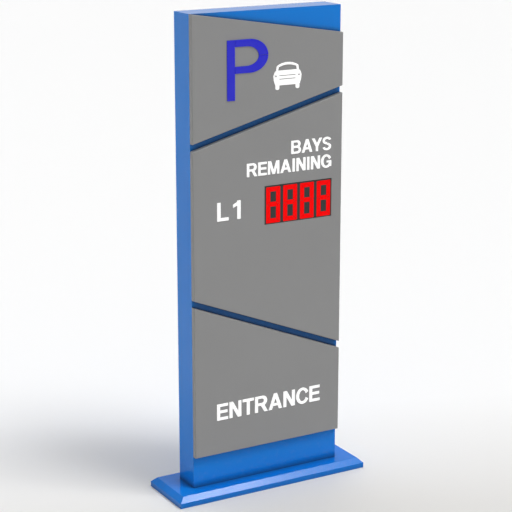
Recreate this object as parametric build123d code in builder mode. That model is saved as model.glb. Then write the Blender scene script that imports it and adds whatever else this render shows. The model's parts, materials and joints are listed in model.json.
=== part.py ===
"""Free-standing parking display pylon, in millimetres.

A folded-sheet cabinet stands on a bevelled plinth. Three grey tray panels with slanting joints hang on its
front, and a four-digit seven-segment display shows through the middle one. A full-height service door on
the back gives access to the frame, the power supply, the controller and the fan.

Frame: +Z up, the front faces -Y, the origin is on the floor at the middle of the plinth.
"""

import os

from build123d import *

os.makedirs("parts", exist_ok=True)

# ---------------------------------------------------------------- driving dimensions
CABINET_WIDTH = 700.0
CABINET_DEPTH = 125.0
OVERALL_HEIGHT = 2020.0
SKIN = 2.0  # sheet thickness of the cabinet skins and the door

PLINTH_HEIGHT = 43.0
PLINTH_SIDE_OVERHANG = 100.0
PLINTH_FRONT_OVERHANG = 77.5
PLINTH_BEVEL = 21.0
PLINTH_WALL = 3.0

PANEL_STANDOFF = 23.0  # from the front skin to the face of the grey panels
PANEL_SHEET = 2.5
PANEL_BEND_RADIUS = 3.0
PANEL_GAP = 30.0  # vertical gap between two panels
PANEL_BOTTOM = 183.0
UPPER_PANEL_TOP_RIGHT = 1909.0
UPPER_JOINT_LEFT, UPPER_JOINT_RIGHT = 1508.0, 1690.0  # bottom edge of the upper panel
LOWER_JOINT_LEFT, LOWER_JOINT_RIGHT = 864.0, 583.0  # bottom edge of the middle panel

DISPLAY_CENTRE_X = 139.5
DISPLAY_BOTTOM = 1144.5
DISPLAY_WIDTH = 322.0
DISPLAY_HEIGHT = 161.0
DIGITS_CENTRE_X = 141.0
DIGITS_MARGIN = 2.8  # below the digits
DIGIT_COUNT = 4
DIGIT_PITCH = 81.0
DIGIT_WIDTH = 67.5
DIGIT_HEIGHT = 152.4
SEGMENT_WIDTH = 20.5
SEGMENT_GAP = 1.0
MIDDLE_SEGMENT_RISE = 3.0  # the middle bar stands this far above the digit's centre

POST_SIZE = 40.0
TUBE_WALL = 3.0
DOOR_GAP = 3.0
DOOR_FOLD = 14.0
DOOR_BOTTOM, DOOR_TOP = 88.0, 1988.0
RUNNING_CLEARANCE = 0.05

# ---------------------------------------------------------------- places worked out from them
HALF_WIDTH = CABINET_WIDTH / 2
FRONT = -CABINET_DEPTH / 2  # outer face of the front skin
BACK = CABINET_DEPTH / 2  # outer face of the service door
INNER_X = HALF_WIDTH - SKIN
INNER_FRONT = FRONT + SKIN
INNER_BACK = BACK - SKIN
CAP_UNDERSIDE = OVERALL_HEIGHT - SKIN
PANEL_FACE = FRONT - PANEL_STANDOFF
PANEL_INSIDE = PANEL_FACE + PANEL_SHEET

POST_OUTER_X = INNER_X - 0.5
POST_INNER_X = POST_OUTER_X - POST_SIZE
FRAME_FRONT = INNER_FRONT + 0.5
FRAME_BACK = FRAME_FRONT + POST_SIZE  # equipment is fixed to this plane
BASE_PLATE = 12.0
CABLE_ENTRY_RADIUS = 20.0
POST_TOP = 1990.0

DOOR_HALF = 318.0
REBATE_X = DOOR_HALF + DOOR_GAP  # inner face of the door surround's web
STOP_Y = 38.0  # front face of the surround's stop flange
STOP_WIDTH = 15.0


def keep(builder, name):
    """Labels a finished piece and writes it as parts/name.step."""
    builder.part.label = name
    export_step(builder.part, f"parts/{name}.step")


# ---------------------------------------------------------------- shared shapes, used inside a builder
def block(x, y, z, mode=Mode.ADD):
    """A box between (low, high) pairs along X, Y and Z."""
    with Locations(((x[0] + x[1]) / 2, (y[0] + y[1]) / 2, (z[0] + z[1]) / 2)):
        Box(x[1] - x[0], y[1] - y[0], z[1] - z[0], mode=mode)


def rod_y(x, z, y, radius, mode=Mode.ADD):
    """A cylinder along Y, between the (low, high) pair y."""
    with Locations((x, (y[0] + y[1]) / 2, z)):
        Cylinder(radius, y[1] - y[0], rotation=(90, 0, 0), mode=mode)


def rod_z(x, y, z, radius, mode=Mode.ADD):
    """A cylinder along Z, between the (low, high) pair z."""
    with Locations((x, y, (z[0] + z[1]) / 2)):
        Cylinder(radius, z[1] - z[0], mode=mode)


def polygon(points, mode=Mode.ADD):
    """A filled polygon in the active sketch."""
    Polygon(*points, mode=mode)


def rear_screw(x, z, seat, length, thread=2.0, head=4.0):
    """A button-head screw driven along -Y from a seat on the back of something, with a hex socket."""
    head_height = 0.55 * head
    rod_y(x, z, (seat - length, seat), thread)
    with Locations((x, seat + head_height / 2, z)):
        Cone(head, 0.7 * head, head_height, rotation=(-90, 0, 0))
    with BuildSketch(Plane.XZ.offset(-(seat + head_height))) as socket:
        with Locations((x, z)):
            RegularPolygon(0.4 * head, 6)
    extrude(socket.sketch, amount=0.6 * head_height, mode=Mode.SUBTRACT)


# ---------------------------------------------------------------- plinth
def make_plinth():
    width = CABINET_WIDTH + 2 * PLINTH_SIDE_OVERHANG
    depth = CABINET_DEPTH + 2 * PLINTH_FRONT_OVERHANG

    with BuildPart() as cover:
        Box(width, depth, PLINTH_HEIGHT, align=(Align.CENTER, Align.CENTER, Align.MIN))
        top_edges = cover.faces().sort_by(Axis.Z)[-1].edges()
        chamfer(top_edges, PLINTH_BEVEL)
        offset(amount=-PLINTH_WALL, openings=cover.faces().sort_by(Axis.Z)[0])
        block((-INNER_X, INNER_X), (INNER_FRONT, INNER_BACK), (0, PLINTH_HEIGHT), Mode.SUBTRACT)
        with Locations(*[(x, y, PLINTH_HEIGHT) for x, y in cover_screw_places()]):
            Hole(3.2, depth=PLINTH_WALL + 1)
    keep(cover, "base_cover")

    with BuildPart() as plate:
        Box(780, 200, BASE_PLATE, align=(Align.CENTER, Align.CENTER, Align.MIN))
        fillet(plate.edges().filter_by(Axis.Z), 8)
        with Locations((0, 0, BASE_PLATE)):
            with GridLocations(500, 70, 2, 2):
                Hole(9)
            Hole(30)
    keep(plate, "base_plate")

    spacer_top = PLINTH_HEIGHT - PLINTH_WALL
    with BuildPart() as spacers:
        for x, y in cover_screw_places():
            block((x - 12, x + 12), (y - 8, y + 8), (BASE_PLATE, spacer_top))
            rod_z(x, y, (spacer_top - 16, spacer_top), 2.5, Mode.SUBTRACT)
    keep(spacers, "cover_spacers")

    with BuildPart() as screws:
        for x, y in cover_screw_places():
            rod_z(x, y, (spacer_top - 14, PLINTH_HEIGHT), 2.5)
            with Locations((x, y, PLINTH_HEIGHT)):
                Cone(5, 3.5, 2.6, align=(Align.CENTER, Align.CENTER, Align.MIN))
            with BuildSketch(Plane.XY.offset(PLINTH_HEIGHT + 2.6)) as socket:
                with Locations((x, y)):
                    RegularPolygon(2, 6)
            extrude(socket.sketch, amount=-1.8, mode=Mode.SUBTRACT)
    keep(screws, "cover_screws")

    with BuildPart() as grommet:
        with BuildSketch(Plane.XZ):
            with BuildLine():
                Polyline(
                    (CABLE_ENTRY_RADIUS, 0.5), (29.7, 0.5), (29.7, BASE_PLATE), (36, BASE_PLATE), (36, 16),
                    (CABLE_ENTRY_RADIUS, 16), close=True,
                )
            make_face()
        revolve(axis=Axis.Z)
    keep(grommet, "cable_entry_grommet")


def cover_screw_places():
    """The plinth cover is screwed down along its back, out of sight from the front."""
    return [(x, 84) for x in (-330, -110, 110, 330)]


# ---------------------------------------------------------------- frame
RAIL_HEIGHT = 30.0
RAIL_BOTTOMS = (130.0, 600.0, 1090.0, 1330.0, 1955.0)


def make_frame():
    for side, sign in (("left", -1), ("right", 1)):
        middle = (sign * (POST_INNER_X + POST_OUTER_X) / 2, (FRAME_FRONT + FRAME_BACK) / 2)
        with BuildPart() as post:
            with BuildSketch(Plane.XY.offset(BASE_PLATE)):
                with Locations(middle):
                    RectangleRounded(POST_SIZE, POST_SIZE, 4)
                    RectangleRounded(
                        POST_SIZE - 2 * TUBE_WALL, POST_SIZE - 2 * TUBE_WALL, 1.5, mode=Mode.SUBTRACT
                    )
            extrude(amount=POST_TOP - BASE_PLATE)
        keep(post, f"frame_post_{side}")

    with BuildPart() as rails:
        with BuildSketch(Plane.YZ.offset(-POST_INNER_X)):
            for bottom in RAIL_BOTTOMS:
                with Locations(((FRAME_FRONT + FRAME_BACK) / 2, bottom + RAIL_HEIGHT / 2)):
                    RectangleRounded(POST_SIZE, RAIL_HEIGHT, 4)
                    RectangleRounded(
                        POST_SIZE - 2 * TUBE_WALL, RAIL_HEIGHT - 2 * TUBE_WALL, 1.5, mode=Mode.SUBTRACT
                    )
        extrude(amount=2 * POST_INNER_X)
    keep(rails, "frame_rails")

    leg, thick = 38.0, 6.0
    with BuildPart() as gussets:
        for sign in (-1, 1):
            inner = sign * POST_INNER_X
            with BuildSketch(Plane.XZ.offset(40 - thick / 2)) as side_gusset:
                polygon(gusset_outline(inner, -sign, leg))
            extrude(side_gusset.sketch, amount=thick)
            post_middle = sign * (POST_INNER_X + POST_SIZE / 2)
            with BuildSketch(Plane.YZ.offset(post_middle - thick / 2)) as rear_gusset:
                polygon(gusset_outline(FRAME_BACK, 1, leg))
            extrude(rear_gusset.sketch, amount=thick)
    keep(gussets, "frame_gussets")


def gusset_outline(corner, sign, leg):
    """A triangle with blunt tips, standing on the base plate from the corner towards the given side."""
    tip = 8.0
    return [
        (corner, BASE_PLATE),
        (corner + sign * leg, BASE_PLATE),
        (corner + sign * leg, BASE_PLATE + tip),
        (corner + sign * tip, BASE_PLATE + leg),
        (corner, BASE_PLATE + leg),
    ]


# ---------------------------------------------------------------- cabinet skins
def make_skins():
    display_left = DISPLAY_CENTRE_X - DISPLAY_WIDTH / 2
    with BuildPart() as front:
        block((-HALF_WIDTH, HALF_WIDTH), (FRONT, INNER_FRONT), (PLINTH_HEIGHT, CAP_UNDERSIDE))
        block(
            (display_left - 3, display_left + DISPLAY_WIDTH + 3),
            (FRONT, INNER_FRONT),
            (DISPLAY_BOTTOM - 3, DISPLAY_BOTTOM + DISPLAY_HEIGHT + 3),
            Mode.SUBTRACT,
        )
        for x, z in lock_screw_places():
            rod_y(x, z, (FRONT, INNER_FRONT), 3.3, Mode.SUBTRACT)
    keep(front, "front_skin")

    for side, sign in (("left", -1), ("right", 1)):
        span = sorted((sign * INNER_X, sign * HALF_WIDTH))
        with BuildPart() as skin:
            block(span, (INNER_FRONT, BACK), (PLINTH_HEIGHT, CAP_UNDERSIDE))
        keep(skin, f"{side}_skin")

    lip = 20.0
    with BuildPart() as cap:
        block((-HALF_WIDTH, HALF_WIDTH), (FRONT, BACK), (CAP_UNDERSIDE, OVERALL_HEIGHT))
        lip_z = (CAP_UNDERSIDE - lip, CAP_UNDERSIDE)
        inset = INNER_X - 0.3
        block((-inset, inset), (INNER_FRONT + 0.3, INNER_BACK - 0.3), lip_z)
        block((-inset + SKIN, inset - SKIN), (INNER_FRONT + 2.3, INNER_BACK - 2.3), lip_z, Mode.SUBTRACT)
        for x in CAP_SCREW_X:
            rod_y(x, CAP_SCREW_Z, (INNER_BACK - 4, INNER_BACK), 2, Mode.SUBTRACT)
    keep(cap, "top_cap")


CAP_SCREW_X = (-240.0, -80.0, 80.0, 240.0)
CAP_SCREW_Z = 2006.0


# ---------------------------------------------------------------- door surround, a Z section on each side
def make_surround():
    rebate_height = (PLINTH_HEIGHT, DOOR_TOP + DOOR_GAP + SKIN)
    for side, sign in (("left", -1), ("right", 1)):
        with BuildPart() as upright:
            face = sorted((sign * REBATE_X, sign * INNER_X))
            block(face, (INNER_BACK, BACK), (PLINTH_HEIGHT, CAP_UNDERSIDE))
            block(sorted((sign * REBATE_X, sign * (REBATE_X + SKIN))), (STOP_Y, INNER_BACK), rebate_height)
            stop = sorted((sign * (REBATE_X - STOP_WIDTH), sign * (REBATE_X + SKIN)))
            block(stop, (STOP_Y, STOP_Y + SKIN), rebate_height)
            if side == "right":
                for z in hinge_screw_heights():
                    rod_y(HINGE_X + HINGE_SCREW_OFFSET, z, (INNER_BACK, BACK), 2, Mode.SUBTRACT)
        keep(upright, f"door_surround_{side}")

    rows = (
        ("top", DOOR_TOP + DOOR_GAP, CAP_UNDERSIDE, 1),
        ("bottom", DOOR_BOTTOM - DOOR_GAP, PLINTH_HEIGHT, -1),
    )
    for name, rebate, outer, sign in rows:
        stop_half = REBATE_X - STOP_WIDTH
        with BuildPart() as cross:
            block((-REBATE_X, REBATE_X), (INNER_BACK, BACK), sorted((rebate, outer)))
            block((-REBATE_X, REBATE_X), (STOP_Y + SKIN, INNER_BACK), sorted((rebate, rebate + sign * SKIN)))
            stop = sorted((rebate + sign * SKIN, rebate - sign * STOP_WIDTH))
            block((-stop_half, stop_half), (STOP_Y, STOP_Y + SKIN), stop)
            if name == "top":
                for x in CAP_SCREW_X:
                    rod_y(x, CAP_SCREW_Z, (INNER_BACK, BACK), 2.2, Mode.SUBTRACT)
        keep(cross, f"door_surround_{name}")

    with BuildPart() as screws:
        for x in CAP_SCREW_X:
            rear_screw(x, CAP_SCREW_Z, BACK, 6)
        for z in hinge_screw_heights():
            rear_screw(HINGE_X + HINGE_SCREW_OFFSET, z, BACK + SKIN, 3.9)
    keep(screws, "surround_screws")

    outer_half, seal = DOOR_HALF + 1, 10.0
    with BuildPart() as gasket:
        low, high = DOOR_BOTTOM - 1, DOOR_TOP + 1
        seal_y = (STOP_Y + SKIN, INNER_BACK - DOOR_FOLD - 0.3)
        block((-outer_half, outer_half), seal_y, (low, high))
        block((seal - outer_half, outer_half - seal), seal_y, (low + seal, high - seal), Mode.SUBTRACT)
    keep(gasket, "door_gasket")


# ---------------------------------------------------------------- service door
VENT_HALF_WIDTH, VENT_HEIGHT = 100.0, 96.0
VENT_BOTTOMS = (250.0, 1757.0)
LATCH_X = -285.0
LATCH_HEIGHTS = {"lower": 600.0, "upper": 1450.0}
STIFFENER_X = (-190.0, 190.0)


def make_door():
    with BuildPart() as door:
        block((-DOOR_HALF, DOOR_HALF), (INNER_BACK - DOOR_FOLD, BACK), (DOOR_BOTTOM, DOOR_TOP))
        block(
            (-DOOR_HALF + SKIN, DOOR_HALF - SKIN),
            (INNER_BACK - DOOR_FOLD, INNER_BACK),
            (DOOR_BOTTOM + SKIN, DOOR_TOP - SKIN),
            Mode.SUBTRACT,
        )
        for bottom in VENT_BOTTOMS:
            opening = (bottom, bottom + VENT_HEIGHT)
            block((-VENT_HALF_WIDTH, VENT_HALF_WIDTH), (INNER_BACK, BACK), opening, Mode.SUBTRACT)
            for x, z in vent_screw_places(bottom):
                rod_y(x, z, (INNER_BACK, BACK), 2, Mode.SUBTRACT)
        for z in LATCH_HEIGHTS.values():
            rod_y(LATCH_X, z, (INNER_BACK, BACK), 11, Mode.SUBTRACT)
        for z in hinge_screw_heights():
            rod_y(HINGE_X - HINGE_SCREW_OFFSET, z, (INNER_BACK, BACK), 2, Mode.SUBTRACT)
    keep(door, "service_door")

    hat, depth = 40.0, 10.0
    with BuildPart() as stiffeners:
        for x in STIFFENER_X:
            span = (DOOR_BOTTOM + 60, DOOR_TOP - 60)
            with BuildSketch(Plane.XY.offset(span[0])) as hat_section:
                polygon([
                    (x - hat, INNER_BACK), (x - hat, INNER_BACK - SKIN), (x - 20, INNER_BACK - SKIN),
                    (x - 14, INNER_BACK - depth), (x + 14, INNER_BACK - depth), (x + 20, INNER_BACK - SKIN),
                    (x + hat, INNER_BACK - SKIN), (x + hat, INNER_BACK), (x + 18.6, INNER_BACK),
                    (x + 12.6, INNER_BACK - depth + SKIN), (x - 12.6, INNER_BACK - depth + SKIN),
                    (x - 18.6, INNER_BACK),
                ])
            extrude(hat_section.sketch, amount=span[1] - span[0])
    keep(stiffeners, "door_stiffeners")


def vent_screw_places(bottom):
    """Four screws round a louvre plate."""
    return [
        (x, z)
        for x in (-VENT_HALF_WIDTH - 9, VENT_HALF_WIDTH + 9)
        for z in (bottom + 10, bottom + VENT_HEIGHT - 10)
    ]


def make_vents():
    blades, sheet, reach = 6, 1.5, 9.0
    pitch = VENT_HEIGHT / blades
    opening = (-VENT_HALF_WIDTH + 2, VENT_HALF_WIDTH - 2)
    with BuildPart() as louvres:
        for bottom in VENT_BOTTOMS:
            with BuildSketch(Plane.XZ.offset(-BACK - sheet)) as face:
                with Locations((0, bottom + VENT_HEIGHT / 2)):
                    RectangleRounded(2 * VENT_HALF_WIDTH + 34, VENT_HEIGHT + 28, 8)
                    Rectangle(opening[1] - opening[0], VENT_HEIGHT - 6, mode=Mode.SUBTRACT)
                with Locations(*vent_screw_places(bottom)):
                    Circle(2.1, mode=Mode.SUBTRACT)
            extrude(face.sketch, amount=sheet)
            for blade in range(blades):
                top = bottom + VENT_HEIGHT - 1 - blade * pitch
                with BuildSketch(Plane.YZ.offset(opening[0])) as blade_section:
                    polygon([
                        (BACK, top), (BACK + reach, top - pitch + 2), (BACK + reach, top - pitch),
                        (BACK + reach - 1.6, top - pitch), (BACK, top - 3),
                    ])
                extrude(blade_section.sketch, amount=opening[1] - opening[0])
            for side in (-1, 1):
                cheek = sorted((side * opening[1], side * (opening[1] + sheet)))
                block(cheek, (BACK, BACK + reach), (bottom + 1, bottom + VENT_HEIGHT - 1))
    keep(louvres, "vent_louvres")

    with BuildPart() as filters:
        for bottom in VENT_BOTTOMS:
            block(
                (-VENT_HALF_WIDTH - 6, VENT_HALF_WIDTH + 6),
                (INNER_BACK - 8, INNER_BACK),
                (bottom - 6, bottom + VENT_HEIGHT + 6),
            )
    keep(filters, "vent_filters")

    with BuildPart() as screws:
        for bottom in VENT_BOTTOMS:
            for x, z in vent_screw_places(bottom):
                rear_screw(x, z, BACK + sheet, 3.5)
        for z in hinge_screw_heights():
            rear_screw(HINGE_X - HINGE_SCREW_OFFSET, z, BACK + SKIN, 3.9)
    keep(screws, "door_screws")


# ---------------------------------------------------------------- hinges
HINGE_X = DOOR_HALF + DOOR_GAP / 2
KNUCKLE_RADIUS = 5.0
HINGE_Y = BACK + KNUCKLE_RADIUS
HINGE_PIN_RADIUS = 3.0
HINGE_LENGTH = 90.0
HINGE_LEAF = 25.0
HINGE_SCREW_OFFSET = 15.0
HINGE_BOTTOMS = (180.0, 993.0, 1806.0)


def hinge_screw_heights():
    """Two screws in each leaf of every hinge."""
    return [bottom + z for bottom in HINGE_BOTTOMS for z in (15, HINGE_LENGTH - 15)]


def add_leaf(bottom, sign, knuckles, bore):
    """One leaf beside the axis on the given side, with the thirds of its length that carry a knuckle."""
    third, slack, root = HINGE_LENGTH / 3, 0.4, KNUCKLE_RADIUS + 1
    spine = sorted((HINGE_X + sign * root, HINGE_X + sign * HINGE_LEAF))
    block(spine, (BACK, BACK + SKIN), (bottom, bottom + HINGE_LENGTH))
    for knuckle in knuckles:
        span = (bottom + knuckle * third + slack, bottom + (knuckle + 1) * third - slack)
        block(sorted((HINGE_X, HINGE_X + sign * root)), (BACK, BACK + SKIN), span)
        rod_z(HINGE_X, HINGE_Y, span, KNUCKLE_RADIUS)
    rod_z(HINGE_X, HINGE_Y, (bottom, bottom + HINGE_LENGTH), bore, Mode.SUBTRACT)


def make_hinges():
    with BuildPart() as frame_leaves:
        for bottom in HINGE_BOTTOMS:
            add_leaf(bottom, 1, (0, 2), HINGE_PIN_RADIUS)
        for z in hinge_screw_heights():
            rod_y(HINGE_X + HINGE_SCREW_OFFSET, z, (BACK, BACK + SKIN), 2.1, Mode.SUBTRACT)
    keep(frame_leaves, "hinge_frame_leaves")

    with BuildPart() as door_leaves:
        for bottom in HINGE_BOTTOMS:
            add_leaf(bottom, -1, (1,), HINGE_PIN_RADIUS + RUNNING_CLEARANCE)
        for z in hinge_screw_heights():
            rod_y(HINGE_X - HINGE_SCREW_OFFSET, z, (BACK, BACK + SKIN), 2.1, Mode.SUBTRACT)
    keep(door_leaves, "hinge_door_leaves")

    with BuildPart() as pins:
        for bottom in HINGE_BOTTOMS:
            top = bottom + HINGE_LENGTH
            rod_z(HINGE_X, HINGE_Y, (bottom, top), HINGE_PIN_RADIUS)
            rod_z(HINGE_X, HINGE_Y, (top, top + 2.5), KNUCKLE_RADIUS - 0.5)
    keep(pins, "hinge_pins")


# ---------------------------------------------------------------- quarter-turn latches
def make_latches():
    spindle = 5.0
    cam_y = (33.0, 36.0)
    with BuildPart() as bodies:
        for z in LATCH_HEIGHTS.values():
            rod_y(LATCH_X, z, (BACK, BACK + 3.5), 16)
            with Locations((LATCH_X, BACK + 4.25, z)):
                Cone(16, 14.5, 1.5, rotation=(-90, 0, 0))
            rod_y(LATCH_X, z, (42, BACK), 10.9)
            with BuildSketch(Plane.XZ.offset(-INNER_BACK)) as nut:
                with Locations((LATCH_X, z)):
                    RegularPolygon(16, 6)
            extrude(nut.sketch, amount=5)
            rod_y(LATCH_X, z, (42, BACK + 5), spindle + RUNNING_CLEARANCE, Mode.SUBTRACT)
    keep(bodies, "latch_bodies")

    for name, z in LATCH_HEIGHTS.items():
        with BuildPart() as cam:
            rod_y(LATCH_X, z, (cam_y[0], BACK + 4), spindle)
            with BuildSketch(Plane.XZ.offset(-(BACK + 4))) as key_socket:
                with Locations((LATCH_X, z)):
                    RegularPolygon(3.6, 3, rotation=90)
            extrude(key_socket.sketch, amount=8, mode=Mode.SUBTRACT)
            with BuildSketch(Plane.XZ.offset(-cam_y[1])) as arm:
                with Locations((LATCH_X, z), (LATCH_X, z - 24)):
                    Circle(9)
                with Locations((LATCH_X, z - 12)):
                    Rectangle(18, 24)
            extrude(arm.sketch, amount=cam_y[1] - cam_y[0])
            with BuildSketch(Plane.XZ.offset(-cam_y[0])) as cam_nut:
                with Locations((LATCH_X, z)):
                    RegularPolygon(7.5, 6)
            extrude(cam_nut.sketch, amount=4)
        keep(cam, f"{name}_latch_cam")


# ---------------------------------------------------------------- front panels
def panel_outlines():
    """Corner heights of the three panels, from the lower left corner anticlockwise, seen from the front."""
    left, right = -HALF_WIDTH, HALF_WIDTH
    return {
        "upper": [
            (left, UPPER_JOINT_LEFT), (right, UPPER_JOINT_RIGHT),
            (right, UPPER_PANEL_TOP_RIGHT), (left, OVERALL_HEIGHT),
        ],
        "middle": [
            (left, LOWER_JOINT_LEFT), (right, LOWER_JOINT_RIGHT),
            (right, UPPER_JOINT_RIGHT - PANEL_GAP), (left, UPPER_JOINT_LEFT - PANEL_GAP),
        ],
        "lower": [
            (left, PANEL_BOTTOM), (right, PANEL_BOTTOM),
            (right, LOWER_JOINT_RIGHT - PANEL_GAP), (left, LOWER_JOINT_LEFT - PANEL_GAP),
        ],
    }


HOOK_HALF_WIDTH = 240.0
HOOK_HEIGHTS = (1860.0, 1720.0, 1455.0, 930.0, 500.0, 250.0)


def lock_screw_places():
    """Two screws under each panel's lower hook, driven from inside the cabinet."""
    return [(x, z) for z in (1695.0, 905.0, 215.0) for x in (-150.0, 150.0)]


def make_panels():
    for name, corners in panel_outlines().items():
        with BuildPart() as tray:
            with BuildSketch(Plane.XZ.offset(-FRONT)) as outer:
                polygon(corners)
            extrude(outer.sketch, amount=PANEL_STANDOFF)
            fillet(tray.faces().sort_by(Axis.Y)[0].edges(), PANEL_BEND_RADIUS)
            with BuildSketch(Plane.XZ.offset(-FRONT)) as hollow:
                polygon(corners)
                offset(amount=-PANEL_SHEET, kind=Kind.INTERSECTION, mode=Mode.REPLACE)
            extrude(hollow.sketch, amount=PANEL_STANDOFF - PANEL_SHEET, mode=Mode.SUBTRACT)
            if name == "middle":
                left = DISPLAY_CENTRE_X - DISPLAY_WIDTH / 2
                block(
                    (left - 0.4, left + DISPLAY_WIDTH + 0.4),
                    (PANEL_FACE, PANEL_INSIDE),
                    (DISPLAY_BOTTOM - 0.4, DISPLAY_BOTTOM + DISPLAY_HEIGHT + 0.4),
                    Mode.SUBTRACT,
                )
        keep(tray, f"{name}_panel")

    span = (-HOOK_HALF_WIDTH, HOOK_HALF_WIDTH)
    with BuildPart() as brackets:
        for z in HOOK_HEIGHTS:
            block(span, (PANEL_INSIDE, PANEL_INSIDE + 2), (z - 6, z + 20))
            block(span, (PANEL_INSIDE, FRONT - 3.5), (z + 18, z + 20))
            block(span, (FRONT - 5.5, FRONT - 3.5), (z + 6, z + 20))
        for x, z in lock_screw_places():
            tab = (x - 14, x + 14)
            block(tab, (PANEL_INSIDE, PANEL_INSIDE + 2), (z - 12, z + 12))
            block(tab, (PANEL_INSIDE, FRONT - 0.5), (z - 12, z - 10))
            block(tab, (FRONT - 4.5, FRONT - 0.5), (z - 12, z + 10))
            rod_y(x, z, (FRONT - 4.5, FRONT - 0.5), 3, Mode.SUBTRACT)
    keep(brackets, "panel_brackets")

    with BuildPart() as rails:
        for z in HOOK_HEIGHTS:
            block(span, (FRONT - 2, FRONT), (z - 12, z + 20))
            block(span, (FRONT - 9, FRONT), (z, z + 2))
            block(span, (FRONT - 9, FRONT - 7), (z, z + 18))
    keep(rails, "hook_rails")

    with BuildPart() as screws:
        for x, z in lock_screw_places():
            rear_screw(x, z, INNER_FRONT, 12, thread=3, head=5.5)
    keep(screws, "panel_lock_screws")


# ---------------------------------------------------------------- display
def segment_outlines(left, bottom):
    """The seven mitred segments of one digit, whose outer corner is at (left, bottom)."""
    right, top = left + DIGIT_WIDTH, bottom + DIGIT_HEIGHT
    s, half = SEGMENT_WIDTH, SEGMENT_WIDTH / 2
    middle = (bottom + top) / 2 + MIDDLE_SEGMENT_RISE
    horizontal = {
        "top": [(left, top), (right, top), (right - s, top - s), (left + s, top - s)],
        "bottom": [(left, bottom), (left + s, bottom + s), (right - s, bottom + s), (right, bottom)],
        "centre": [
            (left + half, middle), (left + s, middle + half), (right - s, middle + half),
            (right - half, middle), (right - s, middle - half), (left + s, middle - half),
        ],
    }
    vertical = {}
    for side, outer, sign in (("left", left, 1), ("right", right, -1)):
        inner, centre = outer + sign * s, outer + sign * half
        vertical[f"upper_{side}"] = [
            (outer, middle), (outer, top), (inner, top - s), (inner, middle + half), (centre, middle),
        ]
        vertical[f"lower_{side}"] = [
            (outer, middle), (centre, middle), (inner, middle - half), (inner, bottom + s), (outer, bottom),
        ]
    return [*horizontal.values(), *vertical.values()]


def digit_corners():
    """Lower left corner of each digit, left to right."""
    first = DIGITS_CENTRE_X - (DIGIT_PITCH * (DIGIT_COUNT - 1) + DIGIT_WIDTH) / 2
    bottom = DISPLAY_BOTTOM + DIGITS_MARGIN
    return [(first + i * DIGIT_PITCH, bottom) for i in range(DIGIT_COUNT)]


def draw_segments(corner, mode=Mode.ADD):
    """All the segments of one digit in the active sketch, each drawn in by half the gap between them."""
    for outline in segment_outlines(*corner):
        with BuildSketch(mode=Mode.PRIVATE) as segment:
            polygon(outline)
            offset(amount=-SEGMENT_GAP / 2, kind=Kind.INTERSECTION, mode=Mode.REPLACE)
        add(segment.sketch, mode=mode)


DISPLAY_WALL = 2.5
MASK_FACE = PANEL_FACE + 1.2  # the dark face lies just below the panel's
LENS_FACE = PANEL_FACE + 0.5
DISPLAY_BACK = FRAME_BACK
MOUNTING_PLATE = 2.0


def make_display():
    x = (DISPLAY_CENTRE_X - DISPLAY_WIDTH / 2, DISPLAY_CENTRE_X + DISPLAY_WIDTH / 2)
    z = (DISPLAY_BOTTOM, DISPLAY_BOTTOM + DISPLAY_HEIGHT)
    inner_x = (x[0] + DISPLAY_WALL, x[1] - DISPLAY_WALL)
    inner_z = (z[0] + DISPLAY_WALL, z[1] - DISPLAY_WALL)

    with BuildPart() as housing:
        block(x, (PANEL_FACE - 0.5, DISPLAY_BACK), z)
        block(inner_x, (PANEL_FACE - 0.5, DISPLAY_BACK), inner_z, Mode.SUBTRACT)
    keep(housing, "display_housing")

    with BuildPart() as mask:
        with BuildSketch(Plane.XZ.offset(-(MASK_FACE + 3))) as mask_face:
            with Locations(((x[0] + x[1]) / 2, (z[0] + z[1]) / 2)):
                Rectangle(inner_x[1] - inner_x[0], inner_z[1] - inner_z[0])
            for corner in digit_corners():
                draw_segments(corner, Mode.SUBTRACT)
        extrude(mask_face.sketch, amount=3)
    keep(mask, "display_mask")

    with BuildPart() as segments:
        with BuildSketch(Plane.XZ.offset(-(LENS_FACE + 4))) as lens_faces:
            for corner in digit_corners():
                draw_segments(corner)
        extrude(lens_faces.sketch, amount=4)
    keep(segments, "digit_segments")

    board_y = (-72.0, -70.4)
    with BuildPart() as board:
        block(inner_x, board_y, inner_z)
        with Locations(((x[0] + x[1]) / 2, board_y[1] + 1.5, (z[0] + z[1]) / 2)):
            for column in range(DIGIT_COUNT):
                with Locations(((column - 1.5) * DIGIT_PITCH, 0, 20)):
                    Box(18, 3, 10)
    keep(board, "display_board")

    with BuildPart() as plate:
        block(x, (DISPLAY_BACK, DISPLAY_BACK + MOUNTING_PLATE), MOUNTING_PLATE_Z)
        for screw_x, screw_z in display_screw_places():
            rod_y(screw_x, screw_z, (DISPLAY_BACK, DISPLAY_BACK + MOUNTING_PLATE), 2.6, Mode.SUBTRACT)
        with BuildSketch(Plane.XZ.offset(-(DISPLAY_BACK + MOUNTING_PLATE))) as cooling_slots:
            with Locations((DISPLAY_CENTRE_X, COOLING_SLOTS_Z)):
                with GridLocations(44, 14, 5, 4):
                    SlotOverall(32, 5)
        extrude(cooling_slots.sketch, amount=MOUNTING_PLATE, mode=Mode.SUBTRACT)
    keep(plate, "display_mounting_plate")

    with BuildPart() as socket:
        for centre_x, half_width in DISPLAY_SOCKETS:
            block(
                (centre_x - half_width, centre_x + half_width),
                (DISPLAY_BACK + MOUNTING_PLATE, DISPLAY_BACK + MOUNTING_PLATE + 14),
                (DISPLAY_SOCKET_Z, DISPLAY_SOCKET_Z + 18),
            )
    keep(socket, "display_sockets")


MOUNTING_PLATE_Z = (1096.0, 1354.0)
COOLING_SLOTS_Z = 1262.0
DISPLAY_SOCKETS = ((60.0, 16.0), (120.0, 11.0))
DISPLAY_SOCKET_Z = 1180.0


def display_screw_places():
    """The display's plate is screwed to the backs of the two rails above and below it."""
    return [(x, z) for x in (0.0, 282.0) for z in (1105.0, 1345.0)]


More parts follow.
